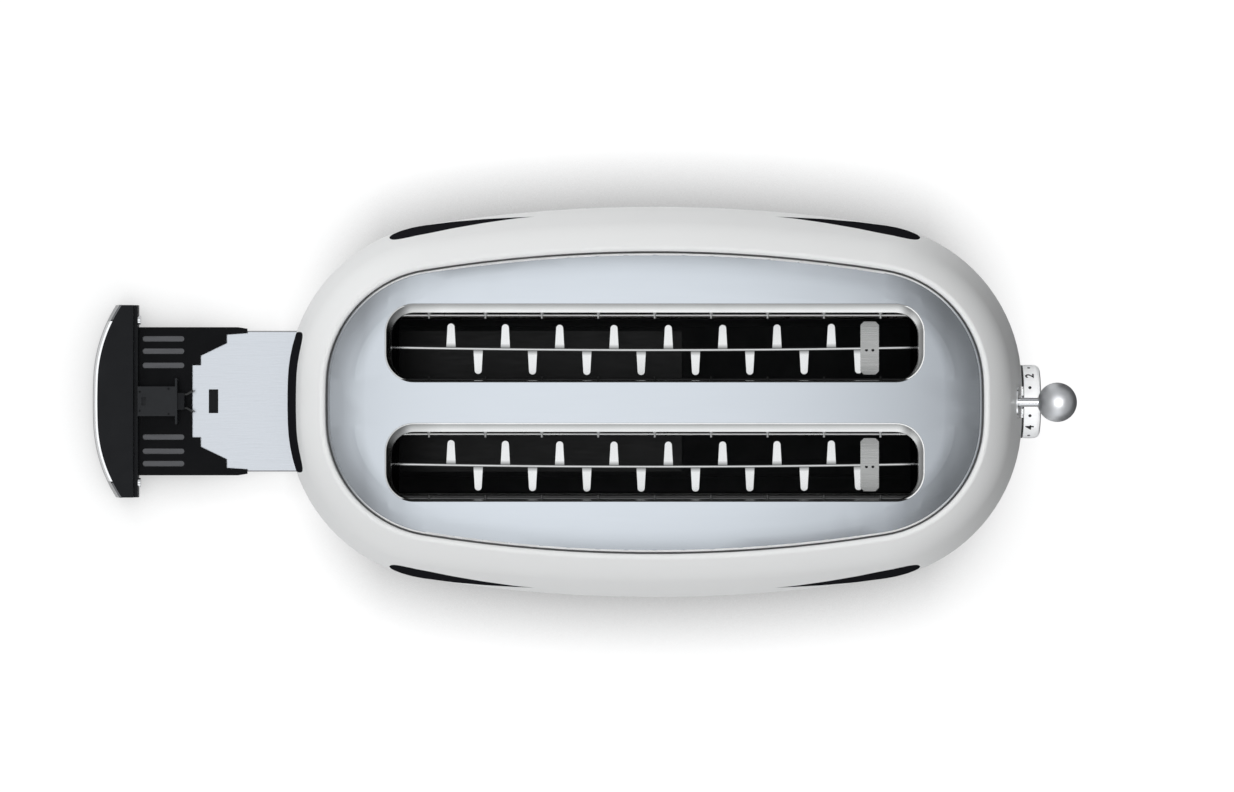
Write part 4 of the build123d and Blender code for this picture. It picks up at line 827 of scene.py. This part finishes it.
def lamps():
    """A softbox on each side, one overhead towards the rear, and the lamp for the controls."""
    middle = (BODY_X, 0, 0.1)
    rear = (BODY_X - 0.2, 0, 0.1)
    softbox("side_right", (BODY_X - 0.7, 2.5, 1.8), middle, (2.4, 1.2), 34)
    softbox("side_left", (BODY_X + 1.2, -2.3, 1.6), middle, (2.4, 1.2), 20)
    softbox("overhead", (BODY_X - 0.2, 0.0, 2.7), rear, (1.6, 1.6), 18)
    controls_lamp()


# The surroundings: directions are parts of a unit vector, and a card is given by its middle and
# its width along each
STRIP_X = -0.045
STRIP_REAR_WIDTH = 0.225
STRIP_FRONT_WIDTH = 0.19
STRIP_FRONT_POWER = 1.8
STRIP_NARROW = 0.34
STRIP_WIDE = 0.85
NARROW_SHARE = 0.65
STRIP_LIGHT = 1.06
LEFT_CARD_X = (0.0, 0.3)
LEFT_CARD_Y = (-0.88, 0.4)
LEFT_CARD_Z = (0.45, 0.3)
LEFT_CARD_LIGHT = 0.7
REAR_CARD_X = (-0.95, 0.3)
REAR_CARD_Z = (0.1, 0.3)
REAR_CARD_LIGHT = 0.6
WALLS = 0.12
LOW_WALLS = 0.34
LOW_WALLS_START_Z = 0.96
LOW_WALLS_FULL_Z = 0.5
FRONT_DARK = 0.1
DARKEST = 0.02
DAYLIGHT = (0.965, 0.985, 1.0, 1)


class Sky(Graph):
    """The world's node tree."""

    def hump(self, value, middle, width, power=3.0):
        """Soft hump of height 1."""
        offset = self.math("DIVIDE", self.math("SUBTRACT", value, middle), width)
        reach = self.math("POWER", self.math("ABSOLUTE", offset), power)
        return self.math("EXPONENT", self.product(reach, -1.0))

    def strip(self, x, y, z):
        """Bright strip overhead that runs across the body."""
        rear = self.hump(self.math("MINIMUM", x, STRIP_X), STRIP_X, STRIP_REAR_WIDTH)
        ahead = self.math("MAXIMUM", x, 0.0)
        front = self.hump(ahead, 0.0, STRIP_FRONT_WIDTH, STRIP_FRONT_POWER)
        narrow = self.product(self.hump(y, 0.0, STRIP_NARROW), NARROW_SHARE)
        wide = self.product(self.hump(y, 0.0, STRIP_WIDE), 1.0 - NARROW_SHARE)
        across = self.math("ADD", narrow, wide)
        return self.product(rear, front, across, self.math("GREATER_THAN", z, 0.0))

    def walls(self, x, y, z):
        """Grey walls, brighter low down, with a card on the left and one at the rear."""
        sides = self.product(self.hump(y, *LEFT_CARD_Y), self.hump(z, *LEFT_CARD_Z))
        left = self.product(sides, LEFT_CARD_LIGHT, self.hump(x, *LEFT_CARD_X))
        sides = self.product(self.hump(x, *REAR_CARD_X), self.hump(z, *REAR_CARD_Z))
        rear = self.product(sides, REAR_CARD_LIGHT)
        low = self.ramp(z, LOW_WALLS_START_Z, LOW_WALLS_FULL_Z, 0.0, LOW_WALLS)
        total = self.math("ADD", left, rear)
        for part in (self.product(x, -FRONT_DARK), low, WALLS):
            total = self.math("ADD", total, part)
        return total


def world():
    """Studio surroundings as the object's metal reflects them."""
    light = bpy.data.worlds.new("studio")
    SCENE.world = light
    light.use_nodes = True
    sky = Sky(light.node_tree)
    x, y, z = sky.parts(sky.add("ShaderNodeTexCoord").outputs["Generated"])
    strip = sky.product(sky.strip(x, y, z), STRIP_LIGHT)
    total = sky.math("ADD", strip, sky.walls(x, y, z))
    shade = sky.nodes["Background"]
    shade.inputs["Color"].default_value = DAYLIGHT
    sky.feed(sky.math("MAXIMUM", total, DARKEST), shade.inputs["Strength"])


# The camera that fits the photograph: pixels, and metres for its height and its place across
PHOTO_WIDTH = 1234
PHOTO_HEIGHT = 792
FOCAL_PIXELS = 5965
NADIR = (654.75, 379.4)
CAMERA_HEIGHT = 3.29
CAMERA_Y = 0.012
SENSOR_WIDTH = 36.0


def camera():
    """Long lens straight above the body, as in the photograph."""
    lens = bpy.data.cameras.new("camera")
    lens.sensor_fit = "HORIZONTAL"
    lens.sensor_width = SENSOR_WIDTH
    lens.lens = FOCAL_PIXELS / PHOTO_WIDTH * SENSOR_WIDTH
    lens.shift_x = (PHOTO_WIDTH / 2 - NADIR[0]) / PHOTO_WIDTH
    lens.shift_y = (NADIR[1] - PHOTO_HEIGHT / 2) / PHOTO_WIDTH
    lens.clip_end = 50.0
    piece = bpy.data.objects.new("camera", lens)
    piece.location = (BODY_X, CAMERA_Y, CAMERA_HEIGHT)
    SCENE.collection.objects.link(piece)
    SCENE.camera = piece


dress_nodes()
even_normals(NODES["top_panel"])
dial_marks()
catch_pad()
floor()
world()
lamps()
camera()
SCENE.view_settings.view_transform = "Standard"
